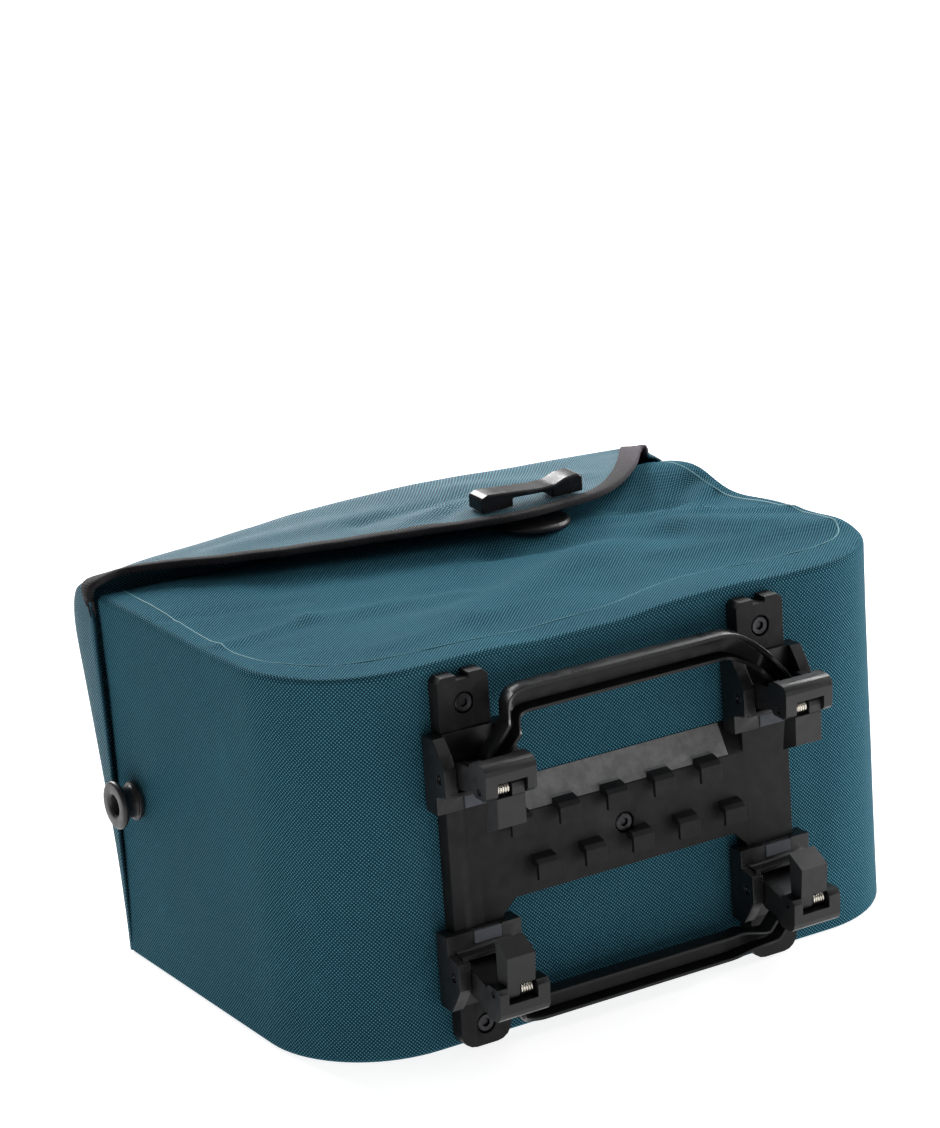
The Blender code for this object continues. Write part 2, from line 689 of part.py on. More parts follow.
def make_plate():
    """The H-shaped adapter plate with two rows of hook tabs."""
    overlap = LEG_WIDTH / 4
    left, right = leg_places().values()
    solids = [prism(leg_outline(x), PLATE_FRONT_Y, PLATE_BACK_Y, "Y") for x in (left, right)]
    low = PLATE_Z - BRIDGE_BELOW
    high = PLATE_Z + BRIDGE_ABOVE
    section = [(PLATE_FRONT_Y, low), (PLATE_FRONT_Y, high), (PLATE_BACK_Y, high + BRIDGE_UPPER_FLANK),
               (PLATE_BACK_Y, low - BRIDGE_LOWER_FLANK)]
    inner = LEG_WIDTH / 2 - overlap
    solids.append(prism(section, left + inner, right - inner))
    for x, side in ((left, 1), (right, -1)):
        edge = x + side * inner
        gusset = [(edge, low - BRIDGE_GUSSET), (edge, low + overlap),
                  (x + side * (LEG_WIDTH / 2 + BRIDGE_GUSSET), low + overlap),
                  (x + side * (LEG_WIDTH / 2 + BRIDGE_GUSSET), low),
                  (x + side * LEG_WIDTH / 2, low - BRIDGE_GUSSET)]
        solids.append(prism(gusset, PLATE_FRONT_Y, (PLATE_FRONT_Y + PLATE_BACK_Y) / 2, "Y"))
    root = PLATE_FRONT_Y + PLATE_THICKNESS / 3
    for shift, level in TAB_ROWS:
        for tab in range(TABS_PER_ROW):
            x = PLATE_OFFSET + shift + TAB_PITCH * (tab - (TABS_PER_ROW - 1) / 2)
            z = PLATE_Z + level
            outer = PLATE_FRONT_Y - TAB_OUT
            hook = [(root, z + TAB_HEIGHT / 2), (outer + TAB_LIP, z + TAB_HEIGHT / 2 - TAB_LIP),
                    (outer, z + TAB_HEIGHT / 2 - 2 * TAB_LIP), (outer, z - TAB_HEIGHT / 2),
                    (outer + TAB_LIP, z - TAB_HEIGHT / 2), (outer + TAB_LIP, z), (root, z + TAB_LIP)]
            solids.append(prism(hook, x - TAB_WIDTH / 2, x + TAB_WIDTH / 2))
    cutters = []
    for x, z in screw_places().values():
        cutters.append(round_bar((x, z), SCREW_RADIUS + 2 * PIN_GAP, PLATE_FRONT_Y + RECESS_DEPTH,
                                 PLATE_FRONT_Y - RECESS_DEPTH, "Y", STUD_SIDES))
    add_object("base_plate", fuse(solids, cutters), "black_plastic")


def make_screws():
    """Socket screws that sit in the plate's recesses."""
    seat = PLATE_FRONT_Y + RECESS_DEPTH - SEAT_GAP
    for name, (x, z) in screw_places().items():
        head = round_bar((x, z), SCREW_RADIUS, seat, seat - SCREW_HEIGHT, "Y")
        socket = round_bar((x, z), SCREW_SOCKET, seat - SCREW_HEIGHT / 2, seat - 2 * SCREW_HEIGHT, "Y", 6)
        add_object(name, fuse([head], [socket]), "dark_steel")


def clamp_outline(points, origin, side):
    """Turn (out, along) pairs into (y, z) about an origin; side is 1 above and -1 below."""
    return [(-(out - origin[0]), side * (along - origin[1])) for out, along in points]


def make_bracket(name, location, side):
    """A bracket that saddles a leg: two faceted cheeks, a jaw and its ledge."""
    origin = (0, 0)
    half = BRACKET_WIDTH / 2
    cheek = [(-BRACKET_WRAP, JAW_FROM), (JAW_OUT, JAW_FROM), (JAW_OUT, JAW_TO),
             (BLOCK_OUT, JAW_TO + LEDGE_THICKNESS), (BLOCK_OUT, BLOCK_TO),
             (SHOULDER_OUT, SHOULDER_ALONG), (JAW_OUT, BRACKET_TOP), (-BRACKET_WRAP, BRACKET_TOP)]
    ledge_top = JAW_TO + LEDGE_THICKNESS
    ledge = [(SEAT_GAP, JAW_TO - LEDGE_THICKNESS), (JAW_OUT, JAW_TO - LEDGE_THICKNESS),
             (JAW_OUT + LEDGE_THICKNESS / 3, JAW_TO - LEDGE_THICKNESS / 3),
             (JAW_OUT + LEDGE_THICKNESS, JAW_TO), (LEDGE_OUT, JAW_TO), (LEDGE_OUT, ledge_top),
             (SEAT_GAP, ledge_top)]
    jaw = [(SEAT_GAP, JAW_FROM), (JAW_OUT, JAW_FROM), (JAW_OUT, JAW_TO), (SEAT_GAP, JAW_TO)]
    pad_floor = JAW_OUT + PAD_PROUD - PAD_THICKNESS - SEAT_GAP
    floor = [(SEAT_GAP, JAW_FROM), (pad_floor, JAW_FROM), (pad_floor, JAW_TO), (SEAT_GAP, JAW_TO)]
    back_out = SEAT_GAP + BACK_PLATE
    back = [(SEAT_GAP, JAW_TO), (back_out, JAW_TO), (back_out, BRACKET_TOP), (SEAT_GAP, BRACKET_TOP)]
    overlap = (half - CHEEK_INSIDE) / 3
    inside = CHEEK_INSIDE + overlap
    pad_left = PAD_SHIFT - PAD_WIDTH / 2 - SEAT_GAP
    pad_right = PAD_SHIFT + PAD_WIDTH / 2 + SEAT_GAP
    parts = ((cheek, -half, -CHEEK_INSIDE), (cheek, CHEEK_INSIDE, half), (back, -inside, inside),
             (ledge, -inside, inside), (floor, -inside, inside), (jaw, -inside, pad_left),
             (jaw, pad_right, inside))
    solids = [prism(clamp_outline(points, origin, side), start, end) for points, start, end in parts]
    bore = clamp_outline(circle((PIN_OUT, PIN_ALONG), PIN_RADIUS + PIN_GAP, ROUND_SIDES), origin, side)
    mesh = fuse(solids, [prism(bore, -BRACKET_WIDTH, BRACKET_WIDTH)])
    add_object("bracket_" + name, mesh, "black_plastic", location=location)

    pad_from = JAW_FROM + SEAT_GAP
    pad_to = JAW_TO - LEDGE_THICKNESS - SEAT_GAP
    pad = [(pad_floor + SEAT_GAP, pad_from), (JAW_OUT + PAD_PROUD, pad_from),
           (JAW_OUT + PAD_PROUD, pad_to), (pad_floor + SEAT_GAP, pad_to)]
    mesh = prism(clamp_outline(pad, origin, side), pad_left + SEAT_GAP, pad_right - SEAT_GAP)
    add_object("jaw_pad_" + name, mesh, "grey_rubber", location=location)

    pin = clamp_outline(circle((PIN_OUT, PIN_ALONG), PIN_RADIUS, ROUND_SIDES), origin, side)
    mesh = prism(pin, -half + SEAT_GAP, half - SEAT_GAP)
    add_object("bracket_pin_" + name, mesh, "dark_steel", location=location)


def make_arm(name, parent, shift, side):
    """An arm that swings on the bracket's pin and carries the tongue in its end block."""
    origin = (PIN_OUT, PIN_ALONG)
    half = LEG_WIDTH / 2
    inside = half - ARM_CHEEK
    embed = ARM_CHEEK / 8
    block = [(BLOCK_FROM_OUT, BLOCK_LOW), (BLOCK_TO_OUT - 2 * MM, BLOCK_LOW),
             (BLOCK_TO_OUT, BLOCK_LOW + 2 * MM)]
    nose = arc((BLOCK_TO_OUT - BLOCK_ROUND, BLOCK_HIGH - BLOCK_ROUND), BLOCK_ROUND, 0, 90, 3)
    block += nose + [(BLOCK_FROM_OUT, BLOCK_HIGH)]
    web_out = BLOCK_FROM_OUT - 2 * MM
    under = PIN_ALONG - ARM_BARREL_RADIUS
    belly = (web_out + PIN_OUT) / 2
    web_end = BLOCK_LOW + 2 * MM
    barrel = arc(origin, ARM_BARREL_RADIUS, 80, 270, 7)
    cheek = barrel + [(belly, under + 1.6 * MM), (web_out, web_end), *block[:-1],
                      (BLOCK_FROM_OUT - 1 * MM, BLOCK_HIGH), (BLOCK_FROM_OUT - 2 * MM, ARM_LUG),
                      (BLOCK_FROM_OUT - 4 * MM, ARM_LUG), (BLOCK_FROM_OUT - 5 * MM, ARM_TOP + 1 * MM),
                      (PIN_OUT + 6 * MM, ARM_TOP)]
    web = [(PIN_OUT, under + embed), (belly, under + 1.6 * MM + embed), (web_out, web_end + embed),
           (web_out, web_end + ARM_WEB), (belly, under + 1.6 * MM + ARM_WEB), (PIN_OUT, under + 2 * ARM_WEB)]
    slot_top = TONGUE_ALONG + TONGUE_BARREL_RADIUS + SEAT_GAP
    lintel = [(BLOCK_FROM_OUT, slot_top), (BLOCK_TO_OUT, slot_top), *nose, (BLOCK_FROM_OUT, BLOCK_HIGH)]
    slot_left = side * SLOT_SHIFT - SLOT_WIDTH / 2
    slot_right = side * SLOT_SHIFT + SLOT_WIDTH / 2
    core = circle(origin, ARM_BARREL_RADIUS - embed, ROUND_SIDES)
    parts = ((cheek, -half, -inside), (cheek, inside, half), (core, -inside - embed, inside + embed),
             (web, -inside - embed, inside + embed), (lintel, -inside - embed, inside + embed),
             (block, -inside - embed, slot_left), (block, slot_right, inside + embed))
    solids = [prism(clamp_outline(points, origin, side), start, end) for points, start, end in parts]
    bores = (circle(origin, PIN_RADIUS + PIN_GAP, ROUND_SIDES),
             circle((TONGUE_OUT, TONGUE_ALONG), TONGUE_PIN_RADIUS + PIN_GAP, ROUND_SIDES))
    cutters = [prism(clamp_outline(points, origin, side), -LEG_WIDTH, LEG_WIDTH) for points in bores]
    add_object("arm_" + name, fuse(solids, cutters), "black_plastic", parent, (shift, 0, 0))


def make_tongue(name, parent, shift, side):
    """A hooked tongue on its own pin, with a coil spring beside its barrel."""
    origin = (TONGUE_OUT, TONGUE_ALONG)
    centre = side * SLOT_SHIFT
    reach = SLOT_WIDTH / 2 - SEAT_GAP
    top = TONGUE_ALONG - SPRING_RADIUS - SPRING_WIRE - 2 * SEAT_GAP
    front = TONGUE_OUT + TONGUE_BARREL_RADIUS
    back = TONGUE_OUT - TONGUE_BARREL_RADIUS
    blade = [(front, top), (front + 0.6 * MM, TONGUE_FRONT_ALONG), (TONGUE_TIP_OUT, TONGUE_TIP_ALONG),
             (TONGUE_TIP_OUT + 1 * MM, (TONGUE_TIP_ALONG + TONGUE_ALONG) / 2), (back, top)]
    neck = [(front - 0.2 * MM, TONGUE_ALONG), (front - 0.2 * MM, top - 1 * MM),
            (back + 0.2 * MM, top - 1 * MM), (back + 0.2 * MM, TONGUE_ALONG)]
    barrel = circle(origin, TONGUE_BARREL_RADIUS, ROUND_SIDES)
    barrel_ends = sorted((centre + side * reach, centre + side * (reach - TONGUE_BARREL_WIDTH)))
    parts = ((blade, centre - reach, centre + reach), (neck, *barrel_ends), (barrel, *barrel_ends))
    solids = [prism(clamp_outline(points, origin, side), start, end) for points, start, end in parts]
    bore = clamp_outline(circle(origin, TONGUE_PIN_RADIUS + PIN_GAP, ROUND_SIDES), origin, side)
    cutter = prism(bore, -LEG_WIDTH, LEG_WIDTH)
    place = (shift, -(TONGUE_OUT - PIN_OUT), side * (TONGUE_ALONG - PIN_ALONG))
    add_object("tongue_" + name, fuse(solids, [cutter]), "black_plastic", parent, place)

    pin_reach = LEG_WIDTH / 2 - SEAT_GAP
    pin = round_bar((0, 0), TONGUE_PIN_RADIUS, -pin_reach, pin_reach)
    add_object("tongue_pin_" + name, pin, "dark_steel", parent, place)

    room = SLOT_WIDTH - 3 * SEAT_GAP - TONGUE_BARREL_WIDTH
    start = centre - side * (reach - SPRING_WIRE)
    end = start + side * (room - 2 * SPRING_WIRE)
    add_object("spring_" + name, coil(start, end), "steel", parent, place)


def coil(start, end):
    """A coil spring about the X axis."""
    steps = 8
    sides = 5
    total = int(SPRING_TURNS * steps)
    bm = bmesh.new()
    rings = []
    for step in range(total + 1):
        angle = 2 * math.pi * step / steps
        centre = Vector((lerp(start, end, step / total), 0, 0))
        out = Vector((0, math.cos(angle), math.sin(angle)))
        ring = []
        for side in range(sides):
            turn = 2 * math.pi * side / sides
            reach = SPRING_RADIUS + SPRING_WIRE * math.cos(turn)
            ring.append(bm.verts.new(centre + out * reach + Vector((SPRING_WIRE * math.sin(turn), 0, 0))))
        rings.append(ring)
    for first, second in zip(rings, rings[1:]):
        bridge(bm, first + first[:1], second + second[:1])
    bm.faces.new(rings[0])
    bm.faces.new(rings[-1])
    bmesh.ops.recalc_face_normals(bm, faces=bm.faces[:])
    return mesh_from(bm, math.radians(60))


def bail_path():
    """Half of the bail's centre line from its toe to the bar: (x, along, out, half width)."""
    toe = Vector((LEG_SPACING / 2 - BAIL_TOE, PIN_ALONG + ARM_BARREL_RADIUS + PIN_GAP))
    ankle = toe + Vector((0, ARM_TOP - PIN_ALONG - ARM_BARREL_RADIUS))
    knee = Vector((LEG_SPACING / 2 - BAIL_SPLAY, BAIL_ALONG))
    start = knee + (ankle - knee).normalized() * BAIL_BEND
    end = knee - Vector((BAIL_BEND, 0))
    points = [toe, ankle, ankle.lerp(start, 0.5), start]
    for step in range(1, BEND_STEPS):
        share = step / BEND_STEPS
        points.append(start.lerp(knee, share).lerp(knee.lerp(end, share), share))
    points += [end, Vector((0, BAIL_ALONG))]
    path = []
    low = BRACKET_TOP + BAIL_WALL
    for point in points:
        share = min(max((point.y - low) / (BAIL_ALONG - low), 0), 1)
        share = share * share * (3 - 2 * share)
        out = lerp(BAIL_LEG_OUT, BAIL_BAR_OUT, share)
        width = lerp(BAIL_LEG_WIDTH, BAIL_HEIGHT, share)
        path.append((point.x, point.y, out, width / 2))
    return path


def make_bail(name, parent, side):
    """A release handle: a bent channel, open away from the bag, between the two arms."""
    half = bail_path()
    path = half + [(-x, along, out, width) for x, along, out, width in reversed(half[:-1])]
    bm = bmesh.new()
    rings = []
    for index, (x, along, out, width) in enumerate(path):
        before = path[max(index - 1, 0)]
        after = path[min(index + 1, len(path) - 1)]
        run = Vector((after[0] - before[0], after[1] - before[1])).normalized()
        normal = Vector((run.y, -run.x))
        lips = ((-width, 0), (width, 0), (width, BAIL_DEPTH), (width - BAIL_WALL, BAIL_DEPTH),
                (width - BAIL_WALL, BAIL_WALL), (BAIL_WALL - width, BAIL_WALL),
                (BAIL_WALL - width, BAIL_DEPTH), (-width, BAIL_DEPTH))
        ring = []
        for across, deep in lips:
            y = -(out + deep - PIN_OUT)
            z = side * (along + normal.y * across - PIN_ALONG)
            ring.append(bm.verts.new((x + normal.x * across, y, z)))
        rings.append(ring)
    for first, second in zip(rings, rings[1:]):
        bridge(bm, first + first[:1], second + second[:1])
    caps = [bm.faces.new(rings[0]), bm.faces.new(rings[-1])]
    bm.normal_update()
    bmesh.ops.triangulate(bm, faces=caps, ngon_method="EAR_CLIP")
    bmesh.ops.recalc_face_normals(bm, faces=bm.faces[:])
    add_object(name, mesh_from(bm, math.radians(40)), "black_plastic", parent)


def make_clamps():
    """The four clamps, and the two release handles that open them in pairs."""
    for level, side in (("upper", 1), ("lower", -1)):
        pivot = (PLATE_OFFSET, PLATE_FRONT_Y - PIN_OUT, PLATE_Z + side * PIN_ALONG)
        axis = add_empty(level + "_release_axis", pivot, turn=RELEASE_SAG)
        for place, x in leg_places().items():
            name = level + "_" + place
            make_bracket(name, (x, PLATE_FRONT_Y, PLATE_Z), side)
            make_arm(name, axis, x - PLATE_OFFSET, side)
            make_tongue(name, axis, x - PLATE_OFFSET, side)
        make_bail("bail_" + level, axis, side)


def main():
    clear_scene()
    make_body()
    make_binding(make_lid())
    make_closure()
    make_studs()
    make_plate()
    make_screws()
    make_clamps()


main()
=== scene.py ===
import json
import math
from collections import namedtuple

import bmesh
import bpy
from mathutils import Matrix, Vector, noise

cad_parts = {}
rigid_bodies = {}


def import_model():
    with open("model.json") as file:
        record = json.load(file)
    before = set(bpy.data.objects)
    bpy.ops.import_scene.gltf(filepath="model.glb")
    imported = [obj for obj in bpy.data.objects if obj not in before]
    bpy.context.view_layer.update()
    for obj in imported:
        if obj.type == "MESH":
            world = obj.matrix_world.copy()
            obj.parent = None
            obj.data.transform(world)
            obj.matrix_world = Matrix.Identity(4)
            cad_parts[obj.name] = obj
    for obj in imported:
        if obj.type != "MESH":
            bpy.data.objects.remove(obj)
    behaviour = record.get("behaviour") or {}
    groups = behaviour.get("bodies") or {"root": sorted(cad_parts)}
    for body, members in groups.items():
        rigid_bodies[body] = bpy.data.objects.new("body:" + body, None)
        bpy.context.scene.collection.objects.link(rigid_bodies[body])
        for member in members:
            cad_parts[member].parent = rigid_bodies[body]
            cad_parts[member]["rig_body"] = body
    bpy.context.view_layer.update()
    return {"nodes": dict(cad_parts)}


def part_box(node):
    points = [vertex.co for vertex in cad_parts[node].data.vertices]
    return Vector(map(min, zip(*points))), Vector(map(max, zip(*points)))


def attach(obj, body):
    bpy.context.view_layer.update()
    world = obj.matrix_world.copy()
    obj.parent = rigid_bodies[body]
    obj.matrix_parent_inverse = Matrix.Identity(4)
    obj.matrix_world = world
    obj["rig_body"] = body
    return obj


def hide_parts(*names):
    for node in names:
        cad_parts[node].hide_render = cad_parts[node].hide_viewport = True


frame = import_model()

MM = 0.001

# The bag lies on its long side: +X along it, -Y out of its base, +Y out of its mouth
HALF_LENGTH = 175 * MM
MOUTH_Y = 105 * MM
BASE_Y = -105 * MM
HEIGHT = 192 * MM
CORNER_RADIUS = 60 * MM
CREASE = 2.8 * MM
CLOTH = 1.6 * MM
FOLD_HEIGHT = 6 * MM

# Lid and flap
LID_RISE = 35 * MM
LID_OVERHANG = 2.5 * MM
LID_INSET = 13 * MM
LID_BASE = 1.3 * MM
LID_EDGE = 4 * MM
FLAP_CROWN = 11.2 * MM
FLAP_LIFT = 4.4 * MM
FLAP_REACH = 68 * MM
FLAP_HEM_LEFT = 10 * MM
FLAP_HEM_RIGHT = 1 * MM
FLAP_HEM_SLANT = 1.5 * MM
FLAP_CURL = 6 * MM
FLAP_END_DROP = 2.5 * MM
TAPE_NARROW = 6 * MM
TAPE_WIDE = 11 * MM
SEAT_GAP = 0.35 * MM

# Adapter plate and its clamps
PLATE_X = -10 * MM
PLATE_Z = 93 * MM
PLATE_FRONT_Y = -114 * MM
LEG_SPACING = 168.5 * MM
PIN_OUT = 7.5 * MM
PIN_ALONG = 49.5 * MM
BRACKET_TOP = 68 * MM
RELEASE_SAG = math.radians(4)

# Release handles
BAIL_HEIGHT = 13.5 * MM
BAIL_DEPTH = 9 * MM
BAIL_WALL = 2 * MM
BAIL_ALONG = 78.5 * MM
BAIL_BAR_OUT = -0.5 * MM
BAIL_LEG_OUT = 12.5 * MM
BAIL_LEG_WIDTH = 10 * MM
BAIL_SPLAY = 19.5 * MM
BAIL_TOE = 3 * MM
BAIL_TOE_ALONG = 55.3 * MM
BAIL_ANKLE_ALONG = 58.9 * MM
BAIL_BEND = 11 * MM
BAIL_LIP = 0.9 * MM
BAIL_LEG_STEPS = 6
BAIL_BEND_STEPS = 16

# Slack of the cloth: where the folds of the top fade out down the walls, as a share of the height,
# and where the noise of each wall sets in and how far it takes to do so
FOLD_LEVEL = 0.6
DENT_FADE = 16 * MM
DENT_PAST_MOUTH = 12 * MM
BELLY_FLATNESS = 0.8
WALL_START = 130 * MM
WALL_FADE = 20 * MM
WALL_PULL = 1.2 * MM
SIDE_START = 10 * MM
SIDE_FADE = 40 * MM
FRONT_END = 34 * MM
FRONT_FADE = 30 * MM
FRONT_BULGE = 0.7 * MM
FRONT_SLACK = 0.6
PLATE_REST = 115 * MM
PLATE_REST_FADE = 12 * MM

# Soft dents: height, size and a number that tells their noise apart
Dent = namedtuple("Dent", "height size seed")
TOP_DENTS = (Dent(0.9 * MM, 55 * MM, 1.0), Dent(0.35 * MM, 21 * MM, 2.0))
WALL_DENTS = (Dent(1.3 * MM, 70 * MM, 3.0), Dent(0.4 * MM, 28 * MM, 4.0))
LID_DENTS = (Dent(1.6 * MM, 60 * MM, 5.0), Dent(0.5 * MM, 22 * MM, 6.0))
TAPE_DENTS = (Dent(0.25 * MM, 9 * MM, 8.0),)
FLAP_DENT_SHARE = 0.5
LID_BACK_FADE = 10 * MM
LID_END_FADE = 6
LID_SIDE_FADE = 8

# Weld between the front panel and the upper side: the raised band outside it, whose edge is
# given in millimetres as the weld line is, and its bead, coloured as a weld film and made paler as a
# painted highlight
BAND_RISE = 0.45 * MM
BAND_EDGE = 1.2
BAND_FADE = 3 * MM
BEAD_WIDTH = 0.9 * MM
BEAD_HEIGHT = 0.25 * MM
BEAD_SINK = 0.4 * MM
BEAD_FOOT = 0.6
BEAD_STEPS = 3
BEAD_SPLINE_STEPS = 8

# Pinch of the lid's back towards its left end: its share, and between which places and levels
LID_PINCH = 0.28
PINCH_PLACES = (-0.72, -1.0)
PINCH_LEVELS = (0.45, 0.90)

# Section of the edge tape, and the share of the cloth's room that it may take
TAPE_PLAY = 0.12 * MM
TAPE_THICKNESS = 0.85 * MM
TAPE_HEM = 0.35 * MM
TAPE_BACK = 0.9 * MM
TAPE_ROUND = 0.7
TAPE_WAIST = 0.6
TAPE_MIN_SLANT = 0.35
TAPE_ROOM = 0.9
TAPE_ROOM_AT_CORNER = 1.08

# Small hard pieces; the profiles of pins and screws are shares of the piece's radius
SEAM_DISTANCE = 0.03 * MM
SAME_PLACE = 0.01 * MM
FLAT_ANGLE = 1.0
PIN_SIDES = 32
PIN_END = ((0.35, 0), (0.35, 0.45), (0, 0.62), (0, 0.85), (0.15, 1))
SPRING_WIRE = 0.62 * MM
SPRING_SINK = 0.2
SPRING_TURNS = 5
SPRING_STEPS = 28
SCREW_SIDES = 36
SCREW_CHAMFER = 0.5 * MM
SCREW_DISH = ((0.62, 0.25 * MM, False), (0.46, 0.3 * MM, True), (0.42, 0.6 * MM, True))
SCREW_SOCKET = 0.40
SCREW_FLOOR = 0.3 * MM
STUD_SIDES = 64
STUD_PROFILE = ((0, 0), (0, 10), (1.4, 10), (1.8, 9.6), (1.8, 8.4), (2.4, 8), (6.6, 8), (7.4, 8.4),
                (8.6, 11.6), (9.2, 12.3), (10.2, 12.5), (11.2, 12.3), (11.8, 11.7), (12, 10.9),
                (12, 7.2), (11.8, 6.4), (11.2, 5.6), (10.4, 5.2), (2.4, 5.2), (2, 4.8), (2, 0))

# Woven cloth: sizes of its pattern, scales of its noise and its colours
WEAVE_PITCH = 1.9 * MM
WEAVE_RELIEF = 0.30 * MM
SLACK_RELIEF = 0.6 * MM
SLUB_SCALE = 380.0
BLOTCH_SCALE = 9.0
WORN_SCALE = 38.0
SLACK_SCALE = 60.0
GROUND_COLOURS = ((0.0074, 0.0355, 0.0535, 1), (0.0096, 0.0425, 0.0620, 1))
THREAD_COLOURS = ((0.082, 0.248, 0.328), (0.092, 0.268, 0.348))
RUBBED_COLOUR = (0.058, 0.196, 0.248, 1)

# Edge tape: its ribs, its colours at the dark left and the plum right end, and the paler colours of a
# painted highlight on the rib crowns, which its lint takes too
RIB_PITCH = 1.15 * MM
RIB_RELIEF = 0.22 * MM
FUZZ_RELIEF = 0.1 * MM
FUZZ_SCALE = 900.0
LINT_SCALE = 260.0
TAPE_COLOURS = ((0.010, 0.0085, 0.010, 1), (0.085, 0.064, 0.084, 1))
RIB_HIGHLIGHT_AND_LINT_COLOURS = ((0.034, 0.029, 0.032, 1), (0.125, 0.098, 0.122, 1))
PLUM_ALONG = (0.31, 0.42)

# Plastics and steel: scales of the noise, and the upper flank of the adapter plate, painted pale as
# painted light where it faces up to the lamps
RUB_SCALE = 160.0
FLOW_SCALE = 26.0
RUB_RELIEF = 0.05 * MM
FLANK_PAINTED_LIGHT_COLOURS = ((0.150, 0.150, 0.150, 1), (0.215, 0.215, 0.215, 1))
FLANK_PAINTED_LIGHT_ZONE = ((-72 * MM, 52 * MM), (-113.7 * MM, -100 * MM), (112.4 * MM, 130 * MM))
DRAWN_STRETCH = (220.0, 2600.0, 2600.0)
DRAWN_RELIEF = 0.02 * MM
TARNISH_SCALE = 700.0

# Floor, lights and camera, in metres, watts, degrees and millimetres of focal length
FLOOR_REACH = 30.0
FLOOR_DROP = 0.2 * MM
FLOOR_COLOUR = (0.50, 0.50, 0.50, 1)
FLOOR_ROUGHNESS = 0.9
FLOOR_GLOW = 0.85
SKY_STRENGTH = 0.21
SUN_TOWARDS = (-0.10, -0.95, -0.64)
SUN_SPREAD = 30
SUN_STRENGTH = 3.9
Softbox = namedtuple("Softbox", "name place target size power")
SOFTBOXES = (
    Softbox("back_softbox", (1.1, 3.0, 1.1), (0, 0, 0.15), (3.6, 1.8), 18),
    Softbox("right_softbox", (2.2, -0.4, 0.4), (0.1, 0, 0.1), (0.8, 1.0), 38),
    Softbox("top_softbox", (1.1, -0.8, 2.0), (0, 0, 0.1), (1.6, 1.0), 7),
    Softbox("near_softbox", (0.85, 0.35, 0.75), (0.14, 0, 0.19), (0.5, 0.5), 9),
)
CAMERA_PLACE = (-0.90357, -1.51641, 0.72181)
CAMERA_AZIMUTH = 30.244
CAMERA_DOWN = 16.568
CAMERA_ROLL = -3.968
CAMERA_LENS = 117.72
SENSOR_HEIGHT = 36
CAMERA_CLIP_END = 100

# Folds of the upper side: ends as shares of the half length and half depth, width as a share
# of the depth, rise as a share of the fold height
Fold = namedtuple("Fold", "x0 y0 x1 y1 width rise")
FOLDS = (
    Fold(0.64, 0.08, 0.92, -0.42, 0.07, 0.45),
    Fold(0.72, 0.58, 0.88, 0.42, 0.13, -0.90),
    Fold(-0.75, 0.00, -0.10, 0.05, 0.20, -0.60),
    Fold(0.15, -0.55, 0.60, -0.60, 0.10, -0.35),
    Fold(-0.20, -1.00, 0.02, -1.00, 0.12, -0.35),
    Fold(0.14, -1.00, 0.40, -1.00, 0.08, 0.22),
    Fold(0.88, 0.95, 1.00, 0.78, 0.09, 0.85),
    Fold(-0.30, -0.45, 0.45, 0.10, 0.08, 0.60),
    Fold(0.10, 0.38, 0.55, -0.02, 0.06, -0.55),
)

# Narrow creases of the upper side, in the same shares
FINE_FOLDS = (
    Fold(0.60, 0.62, 0.84, 0.50, 0.018, -0.35),
    Fold(0.46, 0.40, 0.76, 0.17, 0.026, 0.42),
    Fold(0.76, 0.17, 0.96, -0.10, 0.022, 0.34),
    Fold(0.92, 0.68, 0.60, 0.34, 0.020, -0.34),
    Fold(0.94, 0.56, 0.68, 0.28, 0.020, 0.30),
    Fold(-0.94, -0.06, -0.62, 0.06, 0.024, 0.28),
    Fold(-0.62, 0.06, -0.20, -0.12, 0.040, 0.30),
    Fold(-0.55, 0.55, 0.25, 0.36, 0.070, -0.30),
    Fold(-0.62, -0.62, -0.05, -0.52, 0.030, 0.16),
    Fold(-0.80, -0.20, -0.20, 0.12, 0.035, 0.14),
    Fold(0.42, -0.25, 0.95, -0.48, 0.026, 0.14),
    Fold(-0.95, 0.45, -0.55, 0.30, 0.025, -0.14),
    Fold(0.05, -0.20, 0.45, -0.38, 0.040, -0.10),
)

# Folds of the flap, in the same shares
FLAP_FOLDS = (
    Fold(0.17, 0.86, -0.20, 0.82, 0.020, -0.24),
    Fold(0.16, 0.82, -0.12, 0.67, 0.020, 0.22),
    Fold(0.15, 0.79, -0.02, 0.58, 0.018, -0.22),
    Fold(-0.60, 0.98, -0.10, 0.90, 0.035, 0.22),
    Fold(0.20, 1.00, 0.60, 0.80, 0.040, 0.20),
)

# Line where the front panel is welded onto the upper side, as x, y in millimetres
WELD_LINE = ((-160, 105), (-161, 69), (-162.5, 20), (-163.5, -21), (-160, -45), (-150, -62),
             (-138, -73), (-120, -80), (-83, -85), (-44, -86), (-9, -84), (12, -81), (35, -72),
             (60, -66), (85, -69), (108, -73), (135, -74), (152, -70), (163, -60), (168, -44),
             (169, -10), (168, 40), (166, 105))

# Back of the lid, from its seam at the bottom to its ridge: level, stand-off and lift as shares of the
# height, the rise and the crown, and how far each side has gone to the overhang or the inset
LidRow = namedtuple("LidRow", "level stand_off lift left right")
LID_ROWS = (
    LidRow(0.000, 0.090, 0.00, 0.00, 0.00),
    LidRow(0.120, 0.130, 0.00, 0.10, 0.00),
    LidRow(0.300, 0.240, 0.00, 0.30, 0.00),
    LidRow(0.520, 0.420, 0.00, 0.55, 0.00),
    LidRow(0.710, 0.690, 0.08, 0.80, 0.03),
    LidRow(0.860, 0.950, 0.30, 1.00, 0.03),
    LidRow(0.930, 1.000, 0.65, 1.00, 0.06),
    LidRow(0.985, 0.900, 0.88, 1.00, 0.22),
    LidRow(1.015, 0.690, 0.97, 1.00, 0.60),
    LidRow(1.027, 0.430, 1.00, 1.00, 1.00),
)

# Row at which the lid turns over the mouth, and how finely the lid is divided
TURN_ROW = 6
LID_STEPS = 22
FLAP_STEPS = 4
LID_REFINE_DOWN = 5
LID_REFINE_ACROSS = 4

